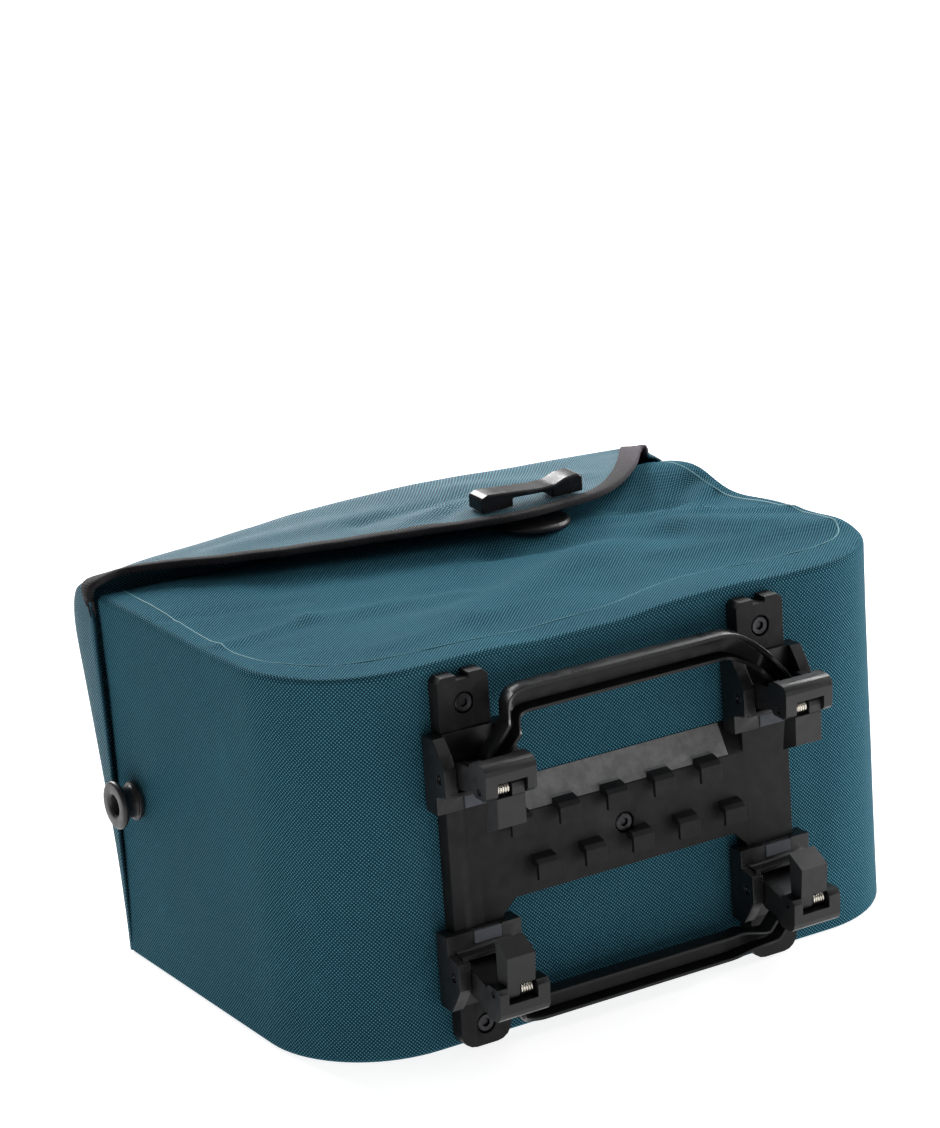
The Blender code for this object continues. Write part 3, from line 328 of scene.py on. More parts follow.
# Across the flap: place as a share of the half length, the rest as shares of their sizes
FlapColumn = namedtuple("FlapColumn", "place crown reach curl tape")
FLAP_COLUMNS = (
    FlapColumn(-1.02, 0.00, -0.01, 0.12, 1.6),
    FlapColumn(-0.90, 0.16, -0.07, 0.53, 1.0),
    FlapColumn(-0.80, 0.29, 0.04, 0.70, 0.3),
    FlapColumn(-0.63, 0.44, 0.28, 0.78, 0.0),
    FlapColumn(-0.45, 0.64, 0.45, 0.80, 0.0),
    FlapColumn(-0.25, 0.88, 0.58, 0.78, 0.0),
    FlapColumn(-0.06, 0.95, 0.70, 0.78, 0.0),
    FlapColumn(0.10, 0.96, 0.81, 0.78, 0.0),
    FlapColumn(0.25, 0.88, 0.87, 0.78, 0.0),
    FlapColumn(0.48, 0.72, 0.80, 0.78, 0.0),
    FlapColumn(0.58, 0.67, 0.72, 0.78, 0.2),
    FlapColumn(0.68, 0.61, 0.54, 0.82, 0.6),
    FlapColumn(0.78, 0.52, 0.28, 0.90, 1.0),
    FlapColumn(0.90, 0.40, -0.08, 1.00, 1.0),
)


# Small helpers

def lerp(first, second, share):
    return first * (1 - share) + second * share


def smoothstep(low, high, value):
    share = min(max((value - low) / (high - low), 0), 1)
    return share * share * (3 - 2 * share)


def smooth_table(rows, place, value, at):
    """Read a table column with smooth steps between its rows."""
    if at <= getattr(rows[0], place):
        return getattr(rows[0], value)
    for before, after in zip(rows, rows[1:]):
        low, high = getattr(before, place), getattr(after, place)
        if at <= high:
            share = (at - low) / (high - low)
            share = 0.5 * (share + smoothstep(0, 1, share))
            return lerp(getattr(before, value), getattr(after, value), share)
    return getattr(rows[-1], value)


def arc(centre, radius, start, end, steps):
    points = []
    for step in range(steps + 1):
        angle = math.radians(lerp(start, end, step / steps))
        points.append((centre[0] + radius * math.cos(angle), centre[1] + radius * math.sin(angle)))
    return points


def spline(points, steps):
    """Points of a smooth curve through the given ones, with some new steps between each pair."""
    result = []
    last = len(points) - 1
    for index in range(last):
        p0 = points[max(index - 1, 0)]
        p1, p2 = points[index], points[index + 1]
        p3 = points[min(index + 2, last)]
        for step in range(steps):
            t = step / steps
            result.append(0.5 * (2 * p1 + (p2 - p0) * t + (2 * p0 - 5 * p1 + 4 * p2 - p3) * t * t
                                 + (3 * p1 - p0 - 3 * p2 + p3) * t * t * t))
    result.append(points[last].copy())
    return result


def refine(grid, down, across):
    """A finer grid through all the points of a coarse one."""
    rows = [spline(row, across) for row in grid]
    columns = [spline(list(column), down) for column in zip(*rows)]
    return [list(row) for row in zip(*columns)]


def fold_shift(x, y, folds=FOLDS):
    """How far the folds raise the cloth at a place: each is a soft ridge or valley along a line."""
    shift = 0.0
    point = Vector((x, y))
    for fold in folds:
        start = Vector((fold.x0 * HALF_LENGTH, fold.y0 * MOUTH_Y))
        run = Vector((fold.x1 * HALF_LENGTH, fold.y1 * MOUTH_Y)) - start
        share = min(max((point - start).dot(run) / run.length_squared, 0), 1)
        distance = (point - start - run * share).length
        shift += fold.rise * FOLD_HEIGHT * math.exp(-(distance / (fold.width * 2 * MOUTH_Y)) ** 2)
    return shift


def wander(point, scale, seed):
    """Smooth noise in -1..1 at a place, for soft dents of a given size."""
    return noise.noise(Vector(point) / scale + Vector((seed, 7.3 * seed, -3.1 * seed)))


def dented(point, dents):
    """How far soft dents of several sizes move the cloth at a place."""
    return sum(dent.height * wander(point, dent.size, dent.seed) for dent in dents)


def finish_piece(piece, body, slot, *nodes):
    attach(piece, body)
    if nodes:
        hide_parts(*nodes)


def new_piece(name, mesh, material, angle):
    """A smooth-shaded piece, with sharp edges above an angle where one is given."""
    piece = bpy.data.objects.new(name, mesh)
    bpy.context.scene.collection.objects.link(piece)
    mesh.materials.clear()
    mesh.materials.append(material)
    mesh.shade_smooth()
    if angle:
        mesh.set_sharp_from_angle(angle=math.radians(angle))
    return piece


def thicken(piece, offset):
    """Give a sheet of cloth its thickness: inwards for -1, to both sides for 0."""
    wall = piece.modifiers.new("thickness", "SOLIDIFY")
    wall.thickness = CLOTH
    wall.offset = offset


def mesh_of(bm, recalc=True):
    if recalc:
        bmesh.ops.recalc_face_normals(bm, faces=bm.faces[:])
    mesh = bpy.data.meshes.new("piece")
    bm.to_mesh(mesh)
    bm.free()
    return mesh


def join_rings(bm, first, second):
    """Faces between two closed rings of as many points."""
    for index in range(len(first)):
        after = (index + 1) % len(first)
        bm.faces.new((first[index], first[after], second[after], second[index]))


def sheet_from(grids, outward):
    """One sheet from grids of (point, uv). outward tells which way a face should look."""
    bm = bmesh.new()
    uv = bm.loops.layers.uv.new("cloth")
    for grid in grids:
        verts = [[bm.verts.new(point) for point, _ in row] for row in grid]
        for i in range(len(grid) - 1):
            for j in range(len(grid[0]) - 1):
                corners = ((i, j), (i, j + 1), (i + 1, j + 1), (i + 1, j))
                if len({tuple(round(c, 6) for c in grid[a][b][0]) for a, b in corners}) < 4:
                    continue
                face = bm.faces.new([verts[a][b] for a, b in corners])
                for loop, (a, b) in zip(face.loops, corners):
                    loop[uv].uv = grid[a][b][1]
    bmesh.ops.remove_doubles(bm, verts=bm.verts[:], dist=SEAM_DISTANCE)
    loose = [v for v in bm.verts if not v.link_faces]
    bmesh.ops.delete(bm, geom=loose, context="VERTS")
    bmesh.ops.recalc_face_normals(bm, faces=bm.faces[:])
    bm.faces.ensure_lookup_table()
    probe = max(bm.faces, key=lambda face: face.calc_center_median().dot(outward))
    if probe.normal.dot(outward) < 0:
        bmesh.ops.reverse_faces(bm, faces=bm.faces[:])
    return mesh_of(bm, recalc=False)


def lathe(profile, sides):
    """Turn (along, radius) pairs about the x axis."""
    bm = bmesh.new()
    rings = []
    for along, radius in profile:
        ring = []
        for side in range(sides if radius > 0 else 1):
            angle = 2 * math.pi * side / sides
            ring.append(bm.verts.new((along, radius * math.cos(angle), radius * math.sin(angle))))
        rings.append(ring)
    for first, second in zip(rings, rings[1:]):
        for side in range(sides):
            after = (side + 1) % sides
            corners = [first[side % len(first)], first[after % len(first)],
                       second[after % len(second)], second[side % len(second)]]
            corners = list(dict.fromkeys(corners))
            if len(corners) > 2:
                bm.faces.new(corners)
    return mesh_of(bm)


def tube_between(rings):
    """Skin closed rings of points into a solid with flat ends."""
    bm = bmesh.new()
    loops = [[bm.verts.new(point) for point in ring] for ring in rings]
    for first, second in zip(loops, loops[1:]):
        join_rings(bm, first, second)
    bm.faces.new(loops[0])
    bm.faces.new(loops[-1])
    return mesh_of(bm)


# Materials

class Graph:
    """A short way to write a material's nodes."""

    def __init__(self, name):
        self.material = bpy.data.materials.new(name)
        self.material.use_nodes = True
        self.tree = self.material.node_tree
        self.shader = self.tree.nodes["Principled BSDF"]

    def put(self, kind, inputs=(), **settings):
        node = self.tree.nodes.new(kind)
        for key, value in settings.items():
            setattr(node, key, value)
        for key, value in dict(inputs).items():
            self.feed(node.inputs[key], value)
        return node

    def feed(self, socket, value):
        if isinstance(value, bpy.types.NodeSocket):
            self.tree.links.new(value, socket)
        else:
            socket.default_value = value

    def math(self, operation, first, second=0.0, third=0.0):
        return self.put("ShaderNodeMath", {0: first, 1: second, 2: third}, operation=operation).outputs[0]

    def noise(self, vector, scale, detail=2.0, rough=0.5):
        node = self.put("ShaderNodeTexNoise", {"Vector": vector, "Scale": scale, "Detail": detail,
                                               "Roughness": rough})
        return node.outputs["Fac"]

    def spread(self, value, low, high, new_low=0.0, new_high=1.0):
        node = self.put("ShaderNodeMapRange", {"Value": value, "From Min": low, "From Max": high,
                                               "To Min": new_low, "To Max": new_high},
                        interpolation_type="SMOOTHSTEP")
        return node.outputs["Result"]

    def mix(self, share, first, second):
        node = self.put("ShaderNodeMix", {"Factor": share}, data_type="RGBA")
        self.feed(node.inputs["A"], first)
        self.feed(node.inputs["B"], second)
        return node.outputs["Result"]

    def bump(self, height, distance, strength=1.0, normal=None):
        inputs = {"Height": height, "Distance": distance, "Strength": strength}
        if normal is not None:
            inputs["Normal"] = normal
        return self.put("ShaderNodeBump", inputs).outputs["Normal"]

    def done(self, **sockets):
        for key, value in sockets.items():
            self.feed(self.shader.inputs[key.replace("_", " ")], value)
        return self.material


def coated_cloth(name, gloss, sheen, painted_light_gain=1.0):
    """Tightly woven coated cloth: pale thread crowns on a dark ground, below a satin film. The last
    argument scales the thread colours up as painted light, for a lit copy of the same cloth.
    """
    g = Graph(name)
    uv = g.put("ShaderNodeUVMap", uv_map="cloth").outputs["UV"]
    place = g.put("ShaderNodeTexCoord").outputs["Object"]
    parts = g.put("ShaderNodeSeparateXYZ", {"Vector": uv})
    turn = 2 * math.pi / WEAVE_PITCH
    slub = g.noise(uv, SLUB_SCALE, 1.0)
    jitter = g.math("MULTIPLY", g.math("SUBTRACT", slub, 0.5), 1.1)
    warp = g.math("SINE", g.math("MULTIPLY_ADD", parts.outputs["X"], turn, jitter))
    weft = g.math("SINE", g.math("MULTIPLY_ADD", parts.outputs["Y"], turn, jitter))
    checker = g.math("MULTIPLY", warp, weft)
    height = g.spread(checker, -0.55, 1.0)
    blotch = g.noise(place, BLOTCH_SCALE, 3.0, 0.55)
    worn = g.noise(place, WORN_SCALE, 4.0, 0.6)
    ground = g.mix(g.spread(blotch, 0.35, 0.65), *GROUND_COLOURS)
    # Scaling the thread colours up paints in light: the same cloth made paler where it stands in more
    # light
    pale, paler = [tuple(painted_light_gain * c for c in shade) + (1,) for shade in THREAD_COLOURS]
    crown = g.mix(g.spread(blotch, 0.3, 0.7), pale, paler)
    crest = g.spread(g.math("ADD", height, g.math("MULTIPLY", jitter, 0.12)), 0.30, 0.98)
    thread = g.mix(crest, ground, crown)
    rubbed = g.math("MULTIPLY", g.spread(worn, 0.52, 0.8), 0.12)
    colour = g.mix(rubbed, thread, RUBBED_COLOUR)
    rough = g.math("ADD", g.spread(height, 0.0, 1.0, 0.56, 0.44), g.spread(worn, 0.3, 0.7, -0.03, 0.05))
    soft = g.bump(g.noise(place, SLACK_SCALE, 3.0), SLACK_RELIEF, 0.25)
    relief = g.bump(height, WEAVE_RELIEF, 0.6, soft)
    g.shader.inputs["Sheen Weight"].default_value = sheen
    g.shader.inputs["Sheen Roughness"].default_value = 0.4
    g.shader.inputs["Specular IOR Level"].default_value = gloss
    return g.done(Base_Color=colour, Roughness=rough, Normal=relief)


def ribbed_tape(name):
    """Woven edge tape with fine cross ribs; it turns from near black to plum along its length, and its
    rib crowns get a painted highlight.
    """
    g = Graph(name)
    uv = g.put("ShaderNodeUVMap", uv_map="cloth").outputs["UV"]
    parts = g.put("ShaderNodeSeparateXYZ", {"Vector": uv})
    turn = 2 * math.pi / RIB_PITCH
    fuzz = g.noise(uv, FUZZ_SCALE, 2.0)
    jitter = g.math("MULTIPLY", fuzz, 1.4)
    rib = g.math("SINE", g.math("MULTIPLY_ADD", parts.outputs["X"], turn, jitter))
    row = g.math("SINE", g.math("MULTIPLY", parts.outputs["Y"], turn * 1.6))
    height = g.math("MULTIPLY_ADD", g.math("MULTIPLY_ADD", row, 0.35, rib), 0.37, 0.5)
    along = g.spread(parts.outputs["X"], *PLUM_ALONG)
    base = g.mix(along, *TAPE_COLOURS)
    lint = g.math("MULTIPLY", g.spread(g.noise(uv, LINT_SCALE, 4.0, 0.65), 0.5, 0.75), 0.5)
    # Painted highlight: the rib crowns are coloured paler; the lint takes the same paler colour
    crown = g.mix(along, *RIB_HIGHLIGHT_AND_LINT_COLOURS)
    colour = g.mix(g.math("MULTIPLY", g.spread(height, 0.3, 0.95), 0.55), base, crown)
    colour = g.mix(g.math("MULTIPLY", lint, 0.6), colour, crown)
    relief = g.bump(height, RIB_RELIEF, 0.8, g.bump(fuzz, FUZZ_RELIEF, 0.5))
    g.shader.inputs["Sheen Weight"].default_value = 0.06
    g.shader.inputs["Specular IOR Level"].default_value = 0.2
    return g.done(Base_Color=colour, Roughness=g.spread(fuzz, 0.3, 0.7, 0.72, 0.9), Normal=relief)


def moulded_plastic(name, dark, light, rough, grain, scale, wear, shine=0.4, painted_light_zone=None):
    """Moulded plastic with a fine spark grain, faint flow marks and rubbed, paler patches."""
    g = Graph(name)
    place = g.put("ShaderNodeTexCoord").outputs["Object"]
    fine = g.noise(place, scale, 3.0, 0.6)
    mid = g.noise(place, RUB_SCALE, 3.0, 0.6)
    wide = g.noise(place, FLOW_SCALE, 3.0, 0.55)
    colour = g.mix(g.spread(wide, 0.35, 0.68), dark, light)
    dust = g.math("MULTIPLY", g.spread(mid, 0.55, 0.78), wear)
    colour = g.mix(dust, colour, tuple(min(c * 2.1, 1) for c in light[:3]) + (1,))
    # Painted light: inside the given box the colour turns pale grey, for the light falling on the
    # upward-facing flank
    if painted_light_zone:
        parts = g.put("ShaderNodeSeparateXYZ", {"Vector": place}).outputs
        share = 1.0
        for axis, (low, high) in zip("XYZ", painted_light_zone):
            share = g.math("MULTIPLY", share, g.math("GREATER_THAN", parts[axis], low))
            share = g.math("MULTIPLY", share, g.math("LESS_THAN", parts[axis], high))
        painted_flank_light = g.mix(g.spread(mid, 0.3, 0.7), *FLANK_PAINTED_LIGHT_COLOURS)
        colour = g.mix(share, colour, painted_flank_light)
    gloss = g.math("ADD", g.spread(mid, 0.3, 0.7, *rough), g.spread(wide, 0.3, 0.7, -0.04, 0.04))
    relief = g.bump(fine, grain, 0.6, g.bump(mid, RUB_RELIEF, 0.3))
    g.shader.inputs["Specular IOR Level"].default_value = shine
    return g.done(Base_Color=colour, Roughness=gloss, Normal=relief)


def drawn_steel(name, colour, rough):
    """Wire or turned steel with fine drawing lines and slight tarnish."""
    g = Graph(name)
    place = g.put("ShaderNodeTexCoord").outputs["Object"]
    stretch = g.put("ShaderNodeMapping", {"Vector": place, "Scale": DRAWN_STRETCH})
    lines = g.noise(stretch.outputs["Vector"], 1.0, 2.0)
    stain = g.noise(place, TARNISH_SCALE, 3.0)
    shade = g.mix(g.math("MULTIPLY", g.spread(stain, 0.45, 0.75), 0.5), colour,
                  tuple(c * 0.45 for c in colour[:3]) + (1,))
    g.shader.inputs["Metallic"].default_value = 1.0
    relief = g.bump(lines, DRAWN_RELIEF, 0.5)
    return g.done(Base_Color=shade, Roughness=g.spread(lines, 0.3, 0.7, *rough), Normal=relief)


cloth_look = coated_cloth("coated_cloth_petrol", gloss=0.006, sheen=0.0)
# The lid is the same cloth as the body; its paler threads are painted light, for the brighter light and
# sheen on the flap
lid_painted_lit_look = coated_cloth("coated_cloth_lid_painted_lit", gloss=0.11, sheen=0.03, painted_light_gain=1.3)
# The bead's pale colour is partly the weld film and partly a painted highlight along the weld
bead_film_and_highlight_look = moulded_plastic("weld_film_painted_highlight", (0.045, 0.160, 0.195, 1), (0.065, 0.210, 0.245, 1),
                            rough=(0.40, 0.52), grain=0.03 * MM, scale=900.0, wear=0.3, shine=0.12)
tape_look = ribbed_tape("edge_tape")
plastic_look = moulded_plastic("clamp_plastic", (0.0050, 0.0050, 0.0054, 1), (0.0088, 0.0088, 0.0095, 1),
                               rough=(0.30, 0.44), grain=0.04 * MM, scale=1500.0, wear=0.25, shine=0.38)
# The plate's upper flank is painted paler, as painted light
plate_look = moulded_plastic("plate_plastic", (0.0055, 0.0055, 0.0055, 1), (0.0090, 0.0088, 0.0088, 1),
                             rough=(0.46, 0.62), grain=0.08 * MM, scale=1100.0, wear=0.3, shine=0.20,
                             painted_light_zone=FLANK_PAINTED_LIGHT_ZONE)
bail_look = moulded_plastic("bail_plastic", (0.0050, 0.0052, 0.0056, 1), (0.0085, 0.0085, 0.0090, 1),
                            rough=(0.28, 0.40), grain=0.03 * MM, scale=1500.0, wear=0.2, shine=0.22)
tongue_look = moulded_plastic("tongue_plastic", (0.0080, 0.0080, 0.0086, 1), (0.0140, 0.0140, 0.0148, 1),
                              rough=(0.40, 0.55), grain=0.05 * MM, scale=1300.0, wear=0.25)
rubber_look = moulded_plastic("pad_rubber", (0.050, 0.056, 0.070, 1), (0.080, 0.088, 0.104, 1),
                              rough=(0.62, 0.80), grain=0.12 * MM, scale=900.0, wear=0.3)
stud_look = moulded_plastic("stud_plastic", (0.012, 0.011, 0.012, 1), (0.024, 0.022, 0.024, 1),
                            rough=(0.30, 0.46), grain=0.05 * MM, scale=1200.0, wear=0.3)
buckle_look = moulded_plastic("buckle_plastic", (0.010, 0.009, 0.010, 1), (0.018, 0.016, 0.018, 1),
                              rough=(0.20, 0.32), grain=0.03 * MM, scale=1300.0, wear=0.2, shine=0.20)
steel_look = drawn_steel("spring_steel", (0.66, 0.62, 0.55, 1), rough=(0.16, 0.34))
dark_steel_look = drawn_steel("blackened_steel", (0.045, 0.045, 0.048, 1), rough=(0.30, 0.45))


# Bag body

# How finely the body is divided
ARC_STEPS = 18
FRONT_STEPS = 64
SIDE_STEPS = 44
WALL_STEPS = 44
CREASE_STEPS = 5


def front_outline(inset):
    """Outline of the front with its rounded corners, from left to right."""
    radius = CORNER_RADIUS - inset
    straight = HALF_LENGTH - CORNER_RADIUS
    centre_y = BASE_Y + CORNER_RADIUS
    left = arc((-straight, centre_y), radius, 180, 270, ARC_STEPS)
    right = arc((straight, centre_y), radius, 270, 360, ARC_STEPS)
    across = [(lerp(-straight, straight, step / FRONT_STEPS), BASE_Y + inset)
              for step in range(1, FRONT_STEPS)]
    return left + across + right


def weld_side(x, y):
    """Distance in millimetres from the weld line: positive outside it, on the overlapped band."""
    best, sign = 1e9, 1.0
    px, py = x / MM, y / MM
    for (ax, ay), (bx, by) in zip(WELD_LINE, WELD_LINE[1:]):
        dx, dy = bx - ax, by - ay
        share = min(max(((px - ax) * dx + (py - ay) * dy) / (dx * dx + dy * dy), 0), 1)
        ox, oy = px - ax - dx * share, py - ay - dy * share
        distance = math.hypot(ox, oy)
        if distance < best:
            best = distance
            sign = 1.0 if dx * oy - dy * ox < 0 else -1.0
    return best * sign


def soften(point):
    """Move a point of the ideal bag to where the slack cloth lies."""
    x, y, z = point
    level = z / HEIGHT
    up = max((level - FOLD_LEVEL) / (1 - FOLD_LEVEL), 0) ** 2
    rise = fold_shift(x, y) + fold_shift(x, y, FINE_FOLDS)
    if z > HEIGHT - CREASE:
        rim = min(HALF_LENGTH - abs(x), y - BASE_Y, MOUTH_Y + DENT_PAST_MOUTH - y)
        rise += smoothstep(0, DENT_FADE, rim) * dented((x, y, 0), TOP_DENTS)
        band = smoothstep(-BAND_EDGE, BAND_EDGE, weld_side(x, y))
        rise += BAND_RISE * band * smoothstep(0, BAND_FADE, HALF_LENGTH - abs(x))
    z += up * rise
    belly = math.sin(math.pi * min(max(level, 0), 1)) ** BELLY_FLATNESS
    left_wall = smoothstep(0, WALL_FADE, -x - WALL_START)
    right_wall = smoothstep(0, WALL_FADE, x - WALL_START)
    slack = dented((x, y, z), WALL_DENTS)
    side_fade = smoothstep(0, SIDE_FADE, y - BASE_Y - SIDE_START)
    x += belly * side_fade * (right_wall - left_wall) * (slack - WALL_PULL)
    front_fade = smoothstep(0, FRONT_FADE, BASE_Y + FRONT_END - y)
    clear = 1 - smoothstep(-1, 1, (PLATE_REST - abs(x - PLATE_X)) / PLATE_REST_FADE)
    y += belly * front_fade * clear * (FRONT_BULGE - FRONT_SLACK * slack)
    return Vector((x, y, max(z, 0.0)))


def with_sides(points):
    """An outline of the front, carried on along both short sides to the mouth."""
    (left_x, left_y), (right_x, right_y) = points[0], points[-1]
    left = [(left_x, lerp(left_y, MOUTH_Y, row / SIDE_STEPS)) for row in range(SIDE_STEPS, 0, -1)]
    right = [(right_x, lerp(right_y, MOUTH_Y, row / SIDE_STEPS)) for row in range(1, SIDE_STEPS + 1)]
    return left + points + right


def flat_panel(z):
    """The upper or lower long side, as columns from the front outline to the mouth."""
    outline = front_outline(CREASE)
    half = HALF_LENGTH - CREASE
    grid = []
    for index, (x, y) in enumerate(outline):
        mouth_x = lerp(-half, half, index / (len(outline) - 1))
        column = []
        for row in range(SIDE_STEPS + 1):
            share = row / SIDE_STEPS
            px, py = lerp(x, mouth_x, share), lerp(y, MOUTH_Y, share)
            column.append((soften((px, py, z)), (px, py)))
        grid.append(column)
    return grid


def wall_levels():
    """Rows of the wall from the upper crease to the lower one, as pairs of inset and height."""
    turns = [math.pi / 2 * step / CREASE_STEPS for step in range(CREASE_STEPS + 1)]
    levels = [(CREASE * (1 - math.sin(turn)), HEIGHT - CREASE * (1 - math.cos(turn))) for turn in turns]
    for step in range(1, WALL_STEPS):
        levels.append((0, lerp(HEIGHT - CREASE, CREASE, step / WALL_STEPS)))
    levels += [(CREASE * (1 - math.cos(turn)), CREASE * (1 - math.sin(turn))) for turn in turns]
    return levels


def wall_strip():
    """The front and both short sides in one strip, with its lengths as cloth coordinates."""
    reference = with_sides(front_outline(0))
    lengths = [0.0]
    for before, after in zip(reference, reference[1:]):
        lengths.append(lengths[-1] + math.dist(before, after))
    levels = wall_levels()
    strip = []
    v = 0.0
    for index, (inset, z) in enumerate(levels):
        if index:
            v += math.dist(levels[index - 1], levels[index])
        places = with_sides(front_outline(inset))
        strip.append([(soften((x, y, z)), (u, v)) for (x, y), u in zip(places, lengths)])
    return strip


top_grid = flat_panel(HEIGHT)
strip_grid = wall_strip()
bottom_grid = flat_panel(0.0)
body_mesh = sheet_from((top_grid, strip_grid, bottom_grid), Vector((0, 0, 1)))
bag_cloth = new_piece("bag_cloth", body_mesh, cloth_look, angle=0)
thicken(bag_cloth, -1)
finish_piece(bag_cloth, "bag", "coated_fabric", "bag_body")


def surface_bead(line):
    """A narrow raised bead that lies on the upper side along a line."""
    points = spline([Vector((x * MM, y * MM, 0)) for x, y in line], BEAD_SPLINE_STEPS)
    rings = []
    for index, point in enumerate(points):
        run = points[min(index + 1, len(points) - 1)] - points[max(index - 1, 0)]
        across = Vector((-run.y, run.x, 0)).normalized()
        ring = []
        for step in range(-BEAD_STEPS, BEAD_STEPS + 1):
            share = step / BEAD_STEPS
            spot = point + across * share * BEAD_WIDTH / 2
            crown = BEAD_HEIGHT * math.sqrt(max(1 - share * share, 0))
            ring.append(soften((spot.x, spot.y, HEIGHT)) + Vector((0, 0, crown)))
        for share in (BEAD_FOOT, -BEAD_FOOT):
            spot = point + across * share * BEAD_WIDTH / 2
            ring.append(soften((spot.x, spot.y, HEIGHT)) - Vector((0, 0, BEAD_SINK)))
        rings.append(ring)
    return tube_between(rings)


weld = new_piece("weld_bead", surface_bead(WELD_LINE), bead_film_and_highlight_look, angle=60)
finish_piece(weld, "bag", "coated_fabric")


# Lid and flap

def flap_value(column, x):
    return smooth_table(FLAP_COLUMNS, "place", column, x / HALF_LENGTH)


def flap_edge(x):
    y = MOUTH_Y + SEAT_GAP - flap_value("reach", x) * FLAP_REACH
    return Vector((x, y, HEIGHT + FLAP_LIFT + MM + flap_value("curl", x) * FLAP_CURL))


def lid_level(row):
    return lerp(LID_BASE, HEIGHT + FLAP_LIFT, row.level / LID_ROWS[-1].level)


def lid_row_point(row, x):
    pinch = LID_PINCH * smoothstep(*PINCH_PLACES, x / HALF_LENGTH) * smoothstep(*PINCH_LEVELS, row.level)
    y = MOUTH_Y + SEAT_GAP + MM + row.stand_off * (1 - pinch) * (LID_RISE - 2 * MM)
    return Vector((x, y, lid_level(row) + row.lift * flap_value("crown", x) * FLAP_CROWN))


def lid_section(index):
    """One section of the lid from its left hem to its right one: first the back, then the flap."""
    rows = len(LID_ROWS)
    row = LID_ROWS[min(index, rows - 1)]
    seam = HALF_LENGTH - MM
    left = -(seam + row.left * (LID_OVERHANG + MM))
    right = seam - row.right * LID_INSET
    share = max(index - rows + 1, 0) / FLAP_STEPS
    middle = []
    for step in range(LID_STEPS + 1):
        x = lerp(left + LID_EDGE, right - LID_EDGE, step / LID_STEPS)
        middle.append(lid_row_point(row, x).lerp(flap_edge(x), share))
    ends = []
    hem_share = max((index - TURN_ROW) / (rows - 1 + FLAP_STEPS - TURN_ROW), 0)
    for x, last, hem, slant in ((left, middle[0], FLAP_HEM_LEFT, FLAP_HEM_SLANT),
                                (right, middle[-1], FLAP_HEM_RIGHT, 0)):
        edge = flap_edge(x)
        turn = Vector((x, MOUTH_Y + SEAT_GAP, min(last.z, lid_level(LID_ROWS[TURN_ROW]))))
        tip = turn.lerp(Vector((x, edge.y + slant, edge.z - hem)), hem_share)
        if x > 0 and index > TURN_ROW:
            tip.z = max(tip.z, last.z - FLAP_END_DROP)
        corner = Vector((x, last.y, last.z))
        fold = min(LID_EDGE, (tip - corner).length / 2)
        ends.append((tip, corner + (tip - corner).normalized() * fold))
    (left_tip, left_fold), (right_tip, right_fold) = ends
    return [left_tip, left_fold, *middle, right_fold, right_tip]


coarse_lid = [lid_section(index) for index in range(len(LID_ROWS) + FLAP_STEPS)]
fine_lid = refine(coarse_lid, LID_REFINE_DOWN, LID_REFINE_ACROSS)


def lid_cloth_grid():
    """The refined lid with soft dents, and its lengths across and along as cloth coordinates."""
    rows = len(fine_lid)
    middle = len(fine_lid[0]) // 2
    grid = []
    v = 0.0
    for i, row in enumerate(fine_lid):
        if i:
            v += (row[middle] - fine_lid[i - 1][middle]).length
        out = []
        u = 0.0
        for j, point in enumerate(row):
            if j:
                u += (point - row[j - 1]).length
            end = min(i, rows - 1 - i) / LID_END_FADE
            side = min(j, len(row) - 1 - j) / LID_SIDE_FADE
            fade = min(end, 1) * min(side, 1)
            dent = dented(point, LID_DENTS)
            back = smoothstep(0, 1, (point.y - MOUTH_Y) / LID_BACK_FADE)
            lift = FLAP_DENT_SHARE * dent + fold_shift(point.x, point.y, FLAP_FOLDS)
            shift = Vector((0, back * dent * fade, (1 - back) * lift * fade))
            out.append((point + shift, (u, v)))
        grid.append(out)
    return grid


lid_grid = lid_cloth_grid()
lid_mesh = sheet_from((lid_grid,), Vector((0, 1, 0.4)))
lid_cloth = new_piece("lid_cloth", lid_mesh, lid_painted_lit_look, angle=0)
thicken(lid_cloth, 0)
finish_piece(lid_cloth, "bag", "coated_fabric", "lid")


def edge_room(index):
    """How much cloth lies between the free edge and the ridge at a point of the edge."""
    ridge = fine_lid[(len(LID_ROWS) - 1) * LID_REFINE_DOWN][index]
    return (ridge - fine_lid[-1][index]).length


